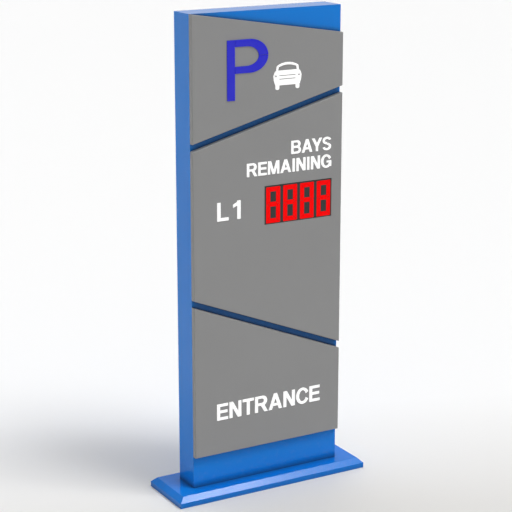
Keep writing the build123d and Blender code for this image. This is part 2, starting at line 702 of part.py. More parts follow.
# ---------------------------------------------------------------- lettering
STEM = 0.205  # stroke of an upright, in cap heights
BAR = 0.17  # stroke of a horizontal
TRACKING = 0.09
KERNING = {
    "BA": -0.02, "AY": -0.14, "YS": -0.05, "AI": 0.03, "IN": 0.045, "NI": 0.045,
    "RA": -0.02, "TR": -0.01, "L1": 0.17,
}


def rectangle(x0, x1, y0, y1):
    """Corner points of a rectangle."""
    return [(x0, y0), (x1, y0), (x1, y1), (x0, y1)]


def slanted(bottom, top, width, low=0.0):
    """A stroke from (bottom, low) to (top, 1), of the given horizontal width."""
    return [(bottom, low), (bottom + width, low), (top + width, 1), (top, 1)]


# width, then the filled outlines of each straight-sided letter, in cap heights
STRAIGHT_LETTERS = {
    "I": (STEM, [rectangle(0, STEM, 0, 1)]),
    "L": (0.69, [rectangle(0, STEM, 0, 1), rectangle(0, 0.69, 0, BAR)]),
    "T": (0.76, [rectangle(0, 0.76, 1 - BAR, 1), rectangle(0.38 - STEM / 2, 0.38 + STEM / 2, 0, 1)]),
    "N": (0.80, [rectangle(0, STEM, 0, 1), rectangle(0.80 - STEM, 0.80, 0, 1), slanted(0.56, 0, 0.24)]),
    "E": (
        0.74,
        [
            rectangle(0, STEM, 0, 1),
            rectangle(0, 0.74, 0, BAR),
            rectangle(0, 0.70, 0.43, 0.43 + BAR),
            rectangle(0, 0.73, 1 - BAR, 1),
        ],
    ),
    "A": (
        0.93,
        [slanted(0, 0.35, 0.225), slanted(0.705, 0.355, 0.225), rectangle(0.17, 0.76, 0.22, 0.38)],
    ),
    "Y": (
        0.90,
        [
            rectangle(0.3475, 0.5525, 0, 0.46),
            slanted(0.335, 0, 0.235, 0.38), slanted(0.33, 0.665, 0.235, 0.38),
        ],
    ),
    "M": (
        0.98,
        [
            rectangle(0, 0.19, 0, 1), rectangle(0.79, 0.98, 0, 1),
            slanted(0.38, 0.06, 0.21), slanted(0.39, 0.71, 0.21),
        ],
    ),
    "1": (
        0.455,
        [
            rectangle(0.25, 0.455, 0, 1),
            [(0, 0.63), (0, 0.80), (0.20, 0.90), (0.29, 1), (0.40, 1), (0.30, 0.76)],
        ],
    ),
}


def ring(centre, outer, inner):
    """An elliptical ring, sized by its half axes."""
    with Locations(centre):
        Ellipse(*outer)
        Ellipse(*inner, mode=Mode.SUBTRACT)


def dee(cap, right, low, high, round_part, mode=Mode.ADD, left=0.0):
    """A filled D: a rectangle whose right end is half an ellipse."""
    half = (high - low) / 2
    middle = (low + high) / 2
    with Locations(((left + right - round_part) / 2 * cap, middle * cap)):
        Rectangle((right - round_part - left) * cap, 2 * half * cap, mode=mode)
    with Locations(((right - round_part) * cap, middle * cap)):
        Ellipse(round_part * cap, half * cap, mode=mode)


def scaled(points, cap):
    """Points in cap heights, turned into millimetres."""
    return [(x * cap, y * cap) for x, y in points]


def draw_c(cap):
    ring((0.45 * cap, 0.5 * cap), (0.45 * cap, 0.515 * cap), (0.24 * cap, 0.35 * cap))
    polygon(scaled([(0.5, 0.5), (0.95, 0.20), (0.95, 0.80)], cap), Mode.SUBTRACT)
    return 0.84


def draw_g(cap):
    ring((0.47 * cap, 0.5 * cap), (0.47 * cap, 0.515 * cap), (0.255 * cap, 0.35 * cap))
    polygon(scaled([(0.52, 0.5), (0.98, 0.38), (0.98, 0.80)], cap), Mode.SUBTRACT)
    polygon(scaled(rectangle(0.50, 0.92, 0.38, 0.53), cap))
    polygon(scaled(rectangle(0.74, 0.92, 0.09, 0.53), cap))
    return 0.93


def draw_s(cap):
    centre = 0.39
    for rise, cut in ((0.73, 1), (0.27, -1)):
        with BuildSketch(mode=Mode.PRIVATE) as bowl:
            ring((centre * cap, rise * cap), (0.38 * cap, 0.285 * cap), (0.18 * cap, 0.12 * cap))
            end = centre + cut * 0.5
            opening = [
                (centre, rise), (end, rise + cut * 0.08), (end, rise - cut * 0.3), (centre, rise - cut * 0.3),
            ]
            polygon(scaled(opening, cap), Mode.SUBTRACT)
        add(bowl.sketch)
    return 0.78


def draw_b(cap):
    dee(cap, 0.81, 0.46, 1.0, 0.27)
    dee(cap, 0.85, 0.0, 0.545, 0.29)
    dee(cap, 0.60, 0.60, 0.845, 0.12, Mode.SUBTRACT, left=STEM)
    dee(cap, 0.64, 0.16, 0.43, 0.135, Mode.SUBTRACT, left=STEM)
    return 0.85


def draw_r(cap):
    dee(cap, 0.83, 0.40, 1.0, 0.29)
    dee(cap, 0.61, 0.56, 0.84, 0.135, Mode.SUBTRACT, left=STEM)
    polygon(scaled(rectangle(0, STEM, 0, 1), cap))
    polygon(scaled([(0.64, 0), (0.88, 0), (0.60, 0.50), (0.38, 0.44)], cap))
    return 0.87


ROUND_LETTERS = {"B": draw_b, "C": draw_c, "G": draw_g, "R": draw_r, "S": draw_s}


def make_lettering(name, lines, thickness=2.0):
    """Separate cut letters bonded to the panels; each line is (text, left, baseline, cap height)."""
    with BuildPart() as sign:
        for text, left, baseline, cap in lines:
            add_line(text, left, baseline, cap, thickness)
    keep(sign, name)


def add_line(text, cursor, baseline, cap, thickness):
    """Adds one line of letters to the active part."""
    for place, char in enumerate(text):
        with BuildSketch(mode=Mode.PRIVATE) as letter:
            if char in STRAIGHT_LETTERS:
                width, outlines = STRAIGHT_LETTERS[char]
                for outline in outlines:
                    polygon(scaled(outline, cap))
            else:
                width = ROUND_LETTERS[char](cap)
        with BuildSketch(Plane.XZ.offset(-PANEL_FACE)) as placed:
            with Locations((cursor, baseline)):
                add(letter.sketch)
        extrude(placed.sketch, amount=thickness)
        cursor += (width + TRACKING + KERNING.get(text[place:place + 2], 0)) * cap


def make_parking_letter():
    """A large P in three pieces: the stem, and the bowl split at its middle."""
    stem_left, stem_right, right = -194.5, -159.5, -7.0
    bottom, bowl_bottom, top = 1669.5, 1776.0, 1910.0
    bar, side, seam, thickness = 28.0, 43.0, 1.2, 3.0
    middle = (bowl_bottom + top) / 2
    with BuildPart() as letter:
        with BuildSketch(Plane.XZ.offset(-PANEL_FACE)) as face:
            polygon(rectangle(stem_left, stem_right, bottom, top))
            bowl_left = stem_right + seam
            dee(1, right, bowl_bottom, top, 83, left=bowl_left)
            dee(1, right - side, bowl_bottom + bar, top - bar, 55, Mode.SUBTRACT, left=bowl_left)
            bowl_seam = rectangle(right - side - 5, right + 5, middle - seam / 2, middle + seam / 2)
            polygon(bowl_seam, Mode.SUBTRACT)
            polygon(rectangle(stem_right, bowl_left, bowl_bottom - 5, top + 5), Mode.SUBTRACT)
        extrude(face.sketch, amount=thickness)
    keep(letter, "parking_letter")


def make_car_pictogram():
    """A plain front view of a car, cut from one sheet."""
    centre, waist = 83.5, 1770.0
    with BuildPart() as car:
        with BuildSketch(Plane.XZ.offset(-PANEL_FACE)) as face:
            with Locations((centre, waist)):
                with BuildSketch(mode=Mode.PRIVATE) as body:
                    polygon([
                        (-57, -56), (57, -56), (64, -34), (66, -17), (58, 2), (-58, 2), (-66, -17), (-64, -34),
                    ])
                    fillet(body.vertices(), 5)
                with BuildSketch(mode=Mode.PRIVATE) as cabin:
                    with BuildLine():
                        Polyline((-51, 22), (-54, -2), (54, -2), (51, 22))
                        ThreePointArc((51, 22), (0, 36), (-51, 22))
                    make_face()
                    fillet(cabin.vertices().group_by(Axis.Y)[-1], 8)
                    with BuildLine():
                        Polyline((-41, 18), (-44, 4), (44, 4), (41, 18))
                        ThreePointArc((41, 18), (0, 26), (-41, 18))
                    make_face(mode=Mode.SUBTRACT)
                add(body.sketch)
                add(cabin.sketch)
                with Locations((-47.5, -63), (47.5, -63)):
                    RectangleRounded(18, 21, 7)
                with Locations((-54, -18), (54, -18)):
                    Circle(4, mode=Mode.SUBTRACT)
                with Locations((0, -17), (0, -31)):
                    SlotOverall(78, 3.4, mode=Mode.SUBTRACT)
        extrude(face.sketch, amount=2)
    keep(car, "car_pictogram")


# ---------------------------------------------------------------- electrical equipment
PLATE_BACK = FRAME_BACK + 2.0
EQUIPMENT_X = (-210.0, 210.0)
EQUIPMENT_Z = (606.0, 1092.0)
DIN_RAIL_Z = 705.0
BREAKER_X = (-160.0, -124.0)
BREAKER_BACK = 44.0
SUPPLY_X, SUPPLY_Z = (-190.0, -75.0), (845.0, 1060.0)
SUPPLY_BACK = PLATE_BACK + 30.0
CONTROLLER_X, CONTROLLER_Z = (40.0, 190.0), (880.0, 990.0)
CONTROLLER_BACK = PLATE_BACK + 32.0


def equipment_screw_places():
    return [(x, z) for x in (-195.0, 195.0) for z in (618.0, 1084.0)]


def make_equipment():
    with BuildPart() as plate:
        block(EQUIPMENT_X, (FRAME_BACK, PLATE_BACK), EQUIPMENT_Z)
        for x, z in equipment_screw_places():
            rod_y(x, z, (FRAME_BACK, PLATE_BACK), 2.6, Mode.SUBTRACT)
    keep(plate, "equipment_plate")

    with BuildPart() as screws:
        for x, z in equipment_screw_places():
            rear_screw(x, z, PLATE_BACK, 2.0, thread=2.5, head=4.5)
        for x, z in display_screw_places():
            rear_screw(x, z, DISPLAY_BACK + MOUNTING_PLATE, 2.0, thread=2.5, head=4.5)
        rear_screw(FAN_LEAD_X, LEAD_STRIP_SCREW_Z, PLATE_BACK, 2.0, thread=2.5, head=4.5)
    keep(screws, "plate_screws")

    with BuildPart() as supply:
        block(SUPPLY_X, (PLATE_BACK, SUPPLY_BACK), SUPPLY_Z)
        fillet(supply.edges().filter_by(Axis.Z), 1.5)
        with BuildSketch(Plane.XZ.offset(-SUPPLY_BACK)) as vents:
            with Locations(((SUPPLY_X[0] + SUPPLY_X[1]) / 2, 965)):
                with GridLocations(10, 10, 9, 13):
                    Circle(3.2)
        extrude(vents.sketch, amount=2, mode=Mode.SUBTRACT)
        terminals = (SUPPLY_X[0] + 8, SUPPLY_X[1] - 8)
        block(terminals, (SUPPLY_BACK - 14, SUPPLY_BACK), (SUPPLY_Z[0], SUPPLY_Z[0] + 21), Mode.SUBTRACT)
    keep(supply, "power_supply")

    with BuildPart() as controller:
        block(CONTROLLER_X, (PLATE_BACK, CONTROLLER_BACK), CONTROLLER_Z)
        fillet(controller.edges().filter_by(Axis.Y), 4)
        fillet(controller.faces().sort_by(Axis.Y)[-1].edges(), 1.5)
    keep(controller, "display_controller")

    with BuildPart() as rail:
        low, high = DIN_RAIL_Z, DIN_RAIL_Z + 35
        length = (-195.0, 120.0)
        block(length, (PLATE_BACK, PLATE_BACK + 1), (low + 5, high - 5))
        for web, lip in (((low + 5, low + 6), (low, low + 6)), ((high - 6, high - 5), (high - 6, high))):
            block(length, (PLATE_BACK, PLATE_BACK + 7.5), web)
            block(length, (PLATE_BACK + 6.5, PLATE_BACK + 7.5), lip)
    keep(rail, "din_rail")


def make_breaker():
    rail_front = PLATE_BACK + 7.5
    middle = DIN_RAIL_Z + 17.5
    with BuildPart() as body:
        block(BREAKER_X, (rail_front, 28), (middle - 42, middle + 42))
        block(BREAKER_X, (28, BREAKER_BACK), (middle - 23, middle + 23))
        slot = (BREAKER_X[0] + 12, BREAKER_X[1] - 12)
        block(slot, (30, BREAKER_BACK), (middle - 12, middle + 12), Mode.SUBTRACT)
    keep(body, "circuit_breaker")

    with BuildPart() as toggle:
        lever = (slot[0] + 0.5, slot[1] - 0.5)
        with BuildSketch(Plane.YZ.offset(lever[0])) as lever_section:
            with Locations((37, middle)):
                Circle(5.5)
            polygon([(35.5, middle + 4.6), (47.5, middle + 10), (50.5, middle + 7.6), (42.3, middle + 0.6)])
        extrude(lever_section.sketch, amount=lever[1] - lever[0])
    keep(toggle, "breaker_toggle")

    with BuildPart() as terminals:
        for number in range(8):
            start = 0.0 + number * 8.2
            block((start, start + 8), (rail_front, 20), (middle - 28, middle + 28))
            block((start, start + 8), (20, 28), (middle - 14, middle + 14))
            for z in (middle - 21, middle + 21):
                rod_y(start + 4, z, (16, 20), 2.4, Mode.SUBTRACT)
    keep(terminals, "terminal_blocks")


# ---------------------------------------------------------------- fan
FAN_SIZE, FAN_DEPTH = 119.0, 25.0
FAN_CENTRE_Z = 1805.0
BLADES = 7
FAN_FRONT = 12.0
FAN_HOLE = 52.4  # mounting holes, from the centre each way
FAN_LEAD_X = 170.0
LEAD_STRIP_SCREW_Z = 1974.0


def make_fan():
    corners = [(x, FAN_CENTRE_Z + z) for x in (-FAN_HOLE, FAN_HOLE) for z in (-FAN_HOLE, FAN_HOLE)]
    with BuildPart() as bracket:
        block((-80, 80), (FRAME_BACK, FRAME_BACK + 2), (1735, 1978))
        rod_y(0, FAN_CENTRE_Z, (FRAME_BACK, FRAME_BACK + 2), 54, Mode.SUBTRACT)
        for x, z in corners:
            rod_y(x, z, (FRAME_BACK + 2, FAN_FRONT), 4)
    keep(bracket, "fan_bracket")

    with BuildPart() as strip:
        ends = (MOUNTING_PLATE_Z[1] + 1, RAIL_BOTTOMS[-1] + RAIL_HEIGHT)
        block((FAN_LEAD_X - 8, FAN_LEAD_X + 8), (FRAME_BACK, PLATE_BACK), ends)
        rod_y(FAN_LEAD_X, LEAD_STRIP_SCREW_Z, (FRAME_BACK, PLATE_BACK), 2.6, Mode.SUBTRACT)
        with BuildSketch(Plane.XZ.offset(-PLATE_BACK)) as tie_slots:
            with Locations((FAN_LEAD_X, (ends[0] + ends[1]) / 2 - 10)):
                with GridLocations(1, 40, 1, 14):
                    SlotOverall(16, 4, rotation=90)
        extrude(tie_slots.sketch, amount=PLATE_BACK - FRAME_BACK, mode=Mode.SUBTRACT)
    keep(strip, "lead_strip")

    fan_y = (FAN_FRONT, FAN_FRONT + FAN_DEPTH)
    half = FAN_SIZE / 2
    with BuildPart() as frame:
        block((-half, half), fan_y, (FAN_CENTRE_Z - half, FAN_CENTRE_Z + half))
        fillet(frame.edges().filter_by(Axis.Y), 6)
        rod_y(0, FAN_CENTRE_Z, fan_y, 57, Mode.SUBTRACT)
        for x, z in corners:
            rod_y(x, z, fan_y, 2.2, Mode.SUBTRACT)
        rod_y(0, FAN_CENTRE_Z, (fan_y[0], fan_y[0] + 4), 22)
        with BuildSketch(Plane.XZ.offset(-fan_y[0] - 4)) as struts:
            with Locations((0, FAN_CENTRE_Z)):
                for angle in (45, 135):
                    Rectangle(116, 5, rotation=angle)
        extrude(struts.sketch, amount=4)
        rod_y(0, FAN_CENTRE_Z, (fan_y[0] + 4, fan_y[0] + 12), 4)
    keep(frame, "fan_frame")

    with BuildPart() as rotor:
        hub_y = (fan_y[0] + 5, fan_y[1] - 1)
        rod_y(0, FAN_CENTRE_Z, hub_y, 21)
        with BuildSketch(Plane.XY.offset(FAN_CENTRE_Z + 20), mode=Mode.PRIVATE) as blade_root:
            polygon([
                (-8, hub_y[0] + 2), (-6.4, hub_y[0] + 1), (9, hub_y[1] - 2.4), (7.4, hub_y[1] - 1.4),
            ])
        blade = extrude(blade_root.sketch, amount=34.5, mode=Mode.PRIVATE)
        spin = Axis((0, 0, FAN_CENTRE_Z), (0, 1, 0))
        for number in range(BLADES):
            add(blade.rotate(spin, number * 360 / BLADES))
        rod_y(0, FAN_CENTRE_Z, (fan_y[0] + 4.5, fan_y[0] + 12.2), 4 + RUNNING_CLEARANCE, Mode.SUBTRACT)
    keep(rotor, "fan_rotor")


# ---------------------------------------------------------------- wiring that the cabinet holds
def make_wiring():
    """Sheathed leads, laid in straight runs with round bends."""
    near, far, fan_lead = -8.0, 4.0, 18.0
    rail_bottom, rail_top = DIN_RAIL_Z - 24.5, DIN_RAIL_Z + 59.5
    leads = [
        (3.5, [(-142, far, rail_top), (-142, far, SUPPLY_Z[0] + 21)]),
        (3.5, [(-142, far, rail_bottom), (-142, far, 650), (20.4, far, 650), (20.4, far, DIN_RAIL_Z - 10.5)]),
        (
            3.0,
            [(-100, far, SUPPLY_Z[0] + 21), (-100, far, 815), (100, far, 815), (100, far, CONTROLLER_Z[0])],
        ),
        (3.0, [(60, near, CONTROLLER_Z[1]), (60, near, DISPLAY_SOCKET_Z)]),
        (3.0, [(120, near, CONTROLLER_Z[1]), (120, near, DISPLAY_SOCKET_Z)]),
        (
            2.2,
            [
                (FAN_LEAD_X, near, CONTROLLER_Z[1]), (FAN_LEAD_X, near, FAN_CENTRE_Z - 40),
                (120, 6, FAN_CENTRE_Z), (FAN_SIZE / 2, fan_lead, FAN_CENTRE_Z),
            ],
        ),
    ]
    with BuildPart() as wiring:
        for radius, points in leads:
            with BuildLine(mode=Mode.PRIVATE) as path:
                if len(points) > 2:
                    FilletPolyline(*points, radius=14)
                else:
                    Line(*points)
            start = Plane(origin=path.line @ 0, z_dir=path.line % 0)
            with BuildSketch(start, mode=Mode.PRIVATE) as section:
                Circle(radius)
            sweep(section.sketch, path=path.line)
    keep(wiring, "internal_wiring")


make_plinth()
make_frame()
make_skins()
make_surround()
make_door()
make_vents()
make_hinges()
make_latches()
make_panels()
make_display()
make_lettering("availability_lettering", [("BAYS", 103.0, 1426.5, 55), ("REMAINING", -105.5, 1352.5, 55)])
make_lettering("level_lettering", [("L1", -243.0, 1184.5, 77)])
make_lettering("entrance_lettering", [("ENTRANCE", -249.5, 332.5, 71)])
make_parking_letter()
make_car_pictogram()
make_equipment()
make_breaker()
make_fan()
make_wiring()
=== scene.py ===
"""Looks, light and camera for the parking display pylon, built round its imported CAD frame.

Scene units are metres. The mesh helpers take millimetres, as the part's own source does.
"""

import json
import math
import random

import bmesh
import bpy
from mathutils import Matrix, Vector


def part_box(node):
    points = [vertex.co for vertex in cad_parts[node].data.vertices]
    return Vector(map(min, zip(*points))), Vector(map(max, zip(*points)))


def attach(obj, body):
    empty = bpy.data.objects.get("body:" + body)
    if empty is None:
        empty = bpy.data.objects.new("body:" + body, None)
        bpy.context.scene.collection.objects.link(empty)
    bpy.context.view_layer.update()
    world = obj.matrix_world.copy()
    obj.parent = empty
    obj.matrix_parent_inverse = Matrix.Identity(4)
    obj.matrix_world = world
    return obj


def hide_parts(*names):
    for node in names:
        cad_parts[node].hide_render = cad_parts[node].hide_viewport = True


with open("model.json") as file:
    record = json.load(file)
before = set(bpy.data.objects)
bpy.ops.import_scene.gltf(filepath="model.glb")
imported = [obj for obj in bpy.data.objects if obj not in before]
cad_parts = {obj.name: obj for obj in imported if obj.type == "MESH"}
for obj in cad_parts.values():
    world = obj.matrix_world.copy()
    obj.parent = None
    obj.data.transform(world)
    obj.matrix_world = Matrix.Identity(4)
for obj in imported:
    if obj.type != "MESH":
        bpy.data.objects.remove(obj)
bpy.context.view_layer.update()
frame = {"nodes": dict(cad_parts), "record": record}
NODES = frame["nodes"]

CABINET = "cabinet"
DOOR = "service_door"


# ---------------------------------------------------------------- node helpers
class Shader:
    """A material under construction: a Principled shader and short calls that add nodes to it."""

    def __init__(self, name, **constants):
        self.material = bpy.data.materials.new(name)
        self.material.use_nodes = True
        self.tree = self.material.node_tree
        self.bsdf = self.tree.nodes["Principled BSDF"]
        for socket, value in constants.items():
            self.bsdf.inputs[socket.replace("_", " ")].default_value = value
        self.place = self.tree.nodes.new("ShaderNodeTexCoord").outputs["Object"]
        self.surface_normal = None

    def add(self, kind, inputs=None, **settings):
        node = self.tree.nodes.new(kind)
        for key, value in settings.items():
            setattr(node, key, value)
        for key, value in (inputs or {}).items():
            self.plug(node.inputs[key], value)
        return node

    def plug(self, socket, value):
        if isinstance(value, bpy.types.NodeSocket):
            self.tree.links.new(value, socket)
        else:
            socket.default_value = value

    def set(self, socket, value):
        self.plug(self.bsdf.inputs[socket], value)

    def stretched(self, scale):
        """Object coordinates scaled by (x, y, z)."""
        return self.add("ShaderNodeMapping", {"Vector": self.place, "Scale": scale}).outputs["Vector"]

    def noise(self, scale, detail=3.0, rough=0.55, at=None):
        inputs = {"Vector": at or self.place, "Scale": scale, "Detail": detail, "Roughness": rough}
        return self.add("ShaderNodeTexNoise", inputs).outputs["Fac"]

    def cells(self, scale, feature="F1", output="Distance", at=None, randomness=1.0):
        inputs = {"Vector": at or self.place, "Scale": scale, "Randomness": randomness}
        return self.add("ShaderNodeTexVoronoi", inputs, feature=feature).outputs[output]

    def span(self, value, low, high, to_low=0.0, to_high=1.0):
        """Maps low..high to to_low..to_high, held at the ends."""
        inputs = {"Value": value, "From Min": low, "From Max": high, "To Min": to_low, "To Max": to_high}
        return self.add("ShaderNodeMapRange", inputs).outputs["Result"]

    def math(self, operation, a, b=0.0):
        return self.add("ShaderNodeMath", {0: a, 1: b}, operation=operation).outputs["Value"]

    def mix(self, factor, a, b, blend="MIX"):
        node = self.add("ShaderNodeMix", data_type="RGBA", blend_type=blend)
        self.plug(node.inputs["Factor"], factor)
        self.plug(node.inputs["A"], a)
        self.plug(node.inputs["B"], b)
        return node.outputs["Result"]

    def height(self):
        return self.add("ShaderNodeSeparateXYZ", {"Vector": self.place}).outputs["Z"]

    def rounded(self, radius):
        """Softens the light along sharp edges, as a folded or sprayed edge does."""
        self.surface_normal = self.add("ShaderNodeBevel", {"Radius": radius}, samples=6).outputs["Normal"]
        self.set("Normal", self.surface_normal)

    def edges(self, radius):
        """0 on flat faces, rising towards 1 on edges within the radius."""
        soft = self.add("ShaderNodeBevel", {"Radius": radius}, samples=6).outputs["Normal"]
        flat = self.add("ShaderNodeNewGeometry").outputs["Normal"]
        dot = self.add("ShaderNodeVectorMath", {0: soft, 1: flat}, operation="DOT_PRODUCT").outputs["Value"]
        return self.span(dot, 0.995, 0.80)

    def painted_shade_in_recesses(self, reach):
        """0 in the open, rising towards 1 in narrow gaps and corners: the mask of a painted shade, where
        little light reaches.
        """
        open_sky = self.add("ShaderNodeAmbientOcclusion", {"Distance": reach}, samples=8).outputs["AO"]
        return self.span(open_sky, 0.80, 0.35)

    def bump(self, height, strength, distance):
        inputs = {"Height": height, "Strength": strength, "Distance": distance}
        if self.surface_normal is not None:
            inputs["Normal"] = self.surface_normal
        self.surface_normal = self.add("ShaderNodeBump", inputs).outputs["Normal"]
        self.set("Normal", self.surface_normal)


def linear(value):
    """A display value from 0 to 255, as linear light."""
    if value <= 10:
        return value / 255 / 12.92
    return ((value / 255 + 0.055) / 1.055) ** 2.4


def rgb(red, green, blue):
    """An opaque linear colour from 0 to 255 display values."""
    return (linear(red), linear(green), linear(blue), 1.0)


def toned(colour, factor, lift=0.0):
    """A colour made darker or brighter, but no brighter than white."""
    return tuple(min(1.0, factor * c + lift) for c in colour[:3]) + (1.0,)


# ---------------------------------------------------------------- materials
def gloss_paint(name, colour, shade, painted_recess_shade=1.0):
    """Sprayed gloss enamel: faint orange peel and tone drift, dust low down, painted shade in gaps and
    corners, worn edges.
    """
    s = Shader(name, IOR=1.30)
    drift = s.span(s.noise(1.7, 2), 0.35, 0.65)
    tone = s.mix(drift, colour, shade)
    dust = s.math("MULTIPLY", s.span(s.height(), 0.30, 0.0), s.span(s.noise(38, 4, 0.7), 0.50, 0.72))
    tone = s.mix(s.math("MULTIPLY", dust, 0.05), tone, rgb(150, 150, 145))
    # painted shade: the colour is darkened towards a dark grey-blue in gaps and corners, where the light is
    # occluded
    tone = s.mix(s.math("MULTIPLY", s.painted_shade_in_recesses(0.06), painted_recess_shade), tone, rgb(34, 40, 52))
    worn = s.math("MULTIPLY", s.edges(0.0014), s.span(s.noise(65, 5, 0.7), 0.52, 0.70))
    s.set("Base Color", s.mix(s.math("MULTIPLY", worn, 0.35), tone, rgb(120, 165, 220)))
    s.set("Roughness", s.span(s.noise(9, 4, 0.65), 0.3, 0.7, 0.09, 0.15))
    s.rounded(0.0012)
    s.bump(s.noise(210, 2, 0.4), 0.05, 0.0004)
    return s.material


def powder_coat(name, colour, shade):
    """Fine-textured satin powder coat."""
    roughness, grain = 0.46, 1500.0
    s = Shader(name, IOR=1.45)
    speck = s.span(s.noise(grain * 0.7, 2, 0.6), 0.40, 0.60)
    drift = s.span(s.noise(2.3, 3), 0.35, 0.65)
    mottle = s.math("ADD", s.math("MULTIPLY", drift, 0.6), s.math("MULTIPLY", speck, 0.4))
    tone = s.mix(mottle, colour, shade)
    worn = s.math("MULTIPLY", s.edges(0.0010), s.span(s.noise(80, 5, 0.7), 0.50, 0.68))
    s.set("Base Color", s.mix(s.math("MULTIPLY", worn, 0.3), tone, rgb(178, 178, 176)))
    s.set("Roughness", s.span(s.noise(22, 4), 0.3, 0.7, roughness - 0.05, roughness + 0.05))
    s.rounded(0.0009)
    s.bump(s.noise(grain, 2, 0.5), 0.10, 0.0002)
    return s.material


def acrylic(name, colour, glow=0.0):
    """Cut sheet acrylic: a polished face and faint saw marks. It can be given a glow, which is painted
    light, as the sheet is no lamp.
    """
    roughness = 0.16
    # the glow is painted light: an emission on acrylic that nothing lights
    s = Shader(name, IOR=1.40, Emission_Strength=glow, Emission_Color=colour)
    s.set("Base Color", s.mix(s.span(s.noise(14, 3), 0.35, 0.65), colour, toned(colour, 0.97)))
    marks = s.noise(420, 2, 0.5, s.stretched((1.0, 0.05, 1.0)))
    s.set("Roughness", s.span(marks, 0.3, 0.7, roughness - 0.05, roughness + 0.10))
    s.rounded(0.0004)
    s.bump(marks, 0.04, 0.0001)
    return s.material


def lit_lens(name):
    """A red diffusing lens over its lamps, evenly lit, with a faint moulded grain."""
    s = Shader(name, IOR=1.49, Emission_Strength=0.72, Specular_IOR_Level=0.06)
    dots = s.cells(150, randomness=0.15)
    glow = s.mix(s.span(dots, 0.25, 0.75, 0.0, 0.10), (1.0, 0.0, 0.0, 1.0), (0.80, 0.0, 0.0, 1.0))
    s.set("Base Color", (0.25, 0.001, 0.002, 1.0))
    s.set("Emission Color", glow)
    s.set("Roughness", s.span(s.noise(90, 3), 0.3, 0.7, 0.22, 0.34))
    s.bump(s.noise(800, 2), 0.05, 0.0001)
    return s.material


def galvanised(name):
    """Zinc-coated sheet with a soft spangle."""
    s = Shader(name, Metallic=0.92)
    spangle = s.cells(95, "F1", "Color")
    grey = s.add("ShaderNodeSeparateColor", {"Color": spangle}).outputs["Red"]
    zinc = s.mix(grey, (0.492, 0.492, 0.51, 1.0), (0.60, 0.60, 0.612, 1.0))
    stain = s.math("MULTIPLY", s.span(s.noise(6, 5, 0.7), 0.45, 0.75), 0.25)
    s.set("Base Color", s.mix(stain, zinc, (0.42, 0.43, 0.44, 1.0)))
    s.set("Roughness", s.span(grey, 0.0, 1.0, 0.30, 0.46))
    s.rounded(0.0005)
    s.bump(s.noise(330, 3), 0.05, 0.0002)
    return s.material


def brushed(name, colour, along, roughness=0.26):
    """Brushed metal, its lines running along one axis."""
    s = Shader(name, Metallic=1.0)
    scale = [900.0, 900.0, 900.0]
    scale[along] = 14.0
    lines = s.noise(1.0, 3, 0.6, s.stretched(tuple(scale)))
    s.set("Base Color", s.mix(s.span(lines, 0.35, 0.65), toned(colour, 0.78), colour))
    s.set("Roughness", s.span(lines, 0.3, 0.7, roughness - 0.07, roughness + 0.09))
    s.rounded(0.0004)
    s.bump(lines, 0.08, 0.0001)
    return s.material


def chromed(name):
    """Plated die casting, with fingermarks."""
    s = Shader(name, Metallic=1.0)
    marks = s.span(s.noise(120, 4, 0.7), 0.45, 0.70)
    s.set("Base Color", s.mix(marks, (0.78, 0.79, 0.80, 1.0), (0.62, 0.63, 0.64, 1.0)))
    s.set("Roughness", s.span(marks, 0.0, 1.0, 0.07, 0.20))
    s.rounded(0.0005)
    return s.material


def frame_primer(name):
    """Zinc-rich primer brushed over steel tube, with rust starting at the edges."""
    s = Shader(name, IOR=1.45)
    patch = s.span(s.noise(12, 5, 0.65), 0.35, 0.70)
    tone = s.mix(patch, rgb(92, 96, 102), rgb(76, 80, 86))
    rust = s.math("MULTIPLY", s.edges(0.0016), s.span(s.noise(45, 6, 0.75), 0.52, 0.66))
    s.set("Base Color", s.mix(s.math("MULTIPLY", rust, 0.55), tone, rgb(112, 70, 44)))
    s.set("Roughness", s.span(s.noise(60, 4), 0.3, 0.7, 0.50, 0.70))
    s.rounded(0.0010)
    s.bump(s.noise(260, 4, 0.6), 0.18, 0.0004)
    return s.material


def moulded(name, colour, roughness=0.42, grain=900.0, depth=0.12):
    """Spark-eroded moulded plastic."""
    s = Shader(name, IOR=1.50)
    s.set("Base Color", s.mix(s.span(s.noise(35, 4), 0.35, 0.70), colour, toned(colour, 1.18, 0.002)))
    s.set("Roughness", s.span(s.noise(140, 3), 0.3, 0.7, roughness - 0.06, roughness + 0.08))
    s.rounded(0.0005)
    s.bump(s.noise(grain, 3, 0.6), depth, 0.0002)
    return s.material


def rubber(name):
    """Extruded rubber with a dry bloom."""
    s = Shader(name, IOR=1.48)
    bloom = s.span(s.noise(55, 5, 0.7), 0.45, 0.75)
    s.set("Base Color", s.mix(s.math("MULTIPLY", bloom, 0.5), rgb(22, 22, 23), rgb(48, 48, 48)))
    s.set("Roughness", s.span(bloom, 0.0, 1.0, 0.60, 0.82))
    s.bump(s.noise(700, 3), 0.2, 0.0002)
    return s.material


def felt(name):
    """Matted filter fleece: crossed fibres and a grey dust load."""
    s = Shader(name, Sheen_Weight=0.4, Roughness=0.95)
    one = s.noise(1.0, 5, 0.75, s.stretched((1500.0, 400.0, 260.0)))
    two = s.noise(1.0, 5, 0.75, s.stretched((260.0, 400.0, 1500.0)))
    fibre = s.span(s.math("MAXIMUM", one, two), 0.45, 0.72)
    load = s.span(s.noise(24, 5, 0.7), 0.40, 0.70)
    tone = s.mix(fibre, rgb(112, 114, 112), rgb(176, 178, 174))
    s.set("Base Color", s.mix(s.math("MULTIPLY", load, 0.4), tone, rgb(96, 92, 86)))
    s.bump(fibre, 0.7, 0.0008)
    return s.material


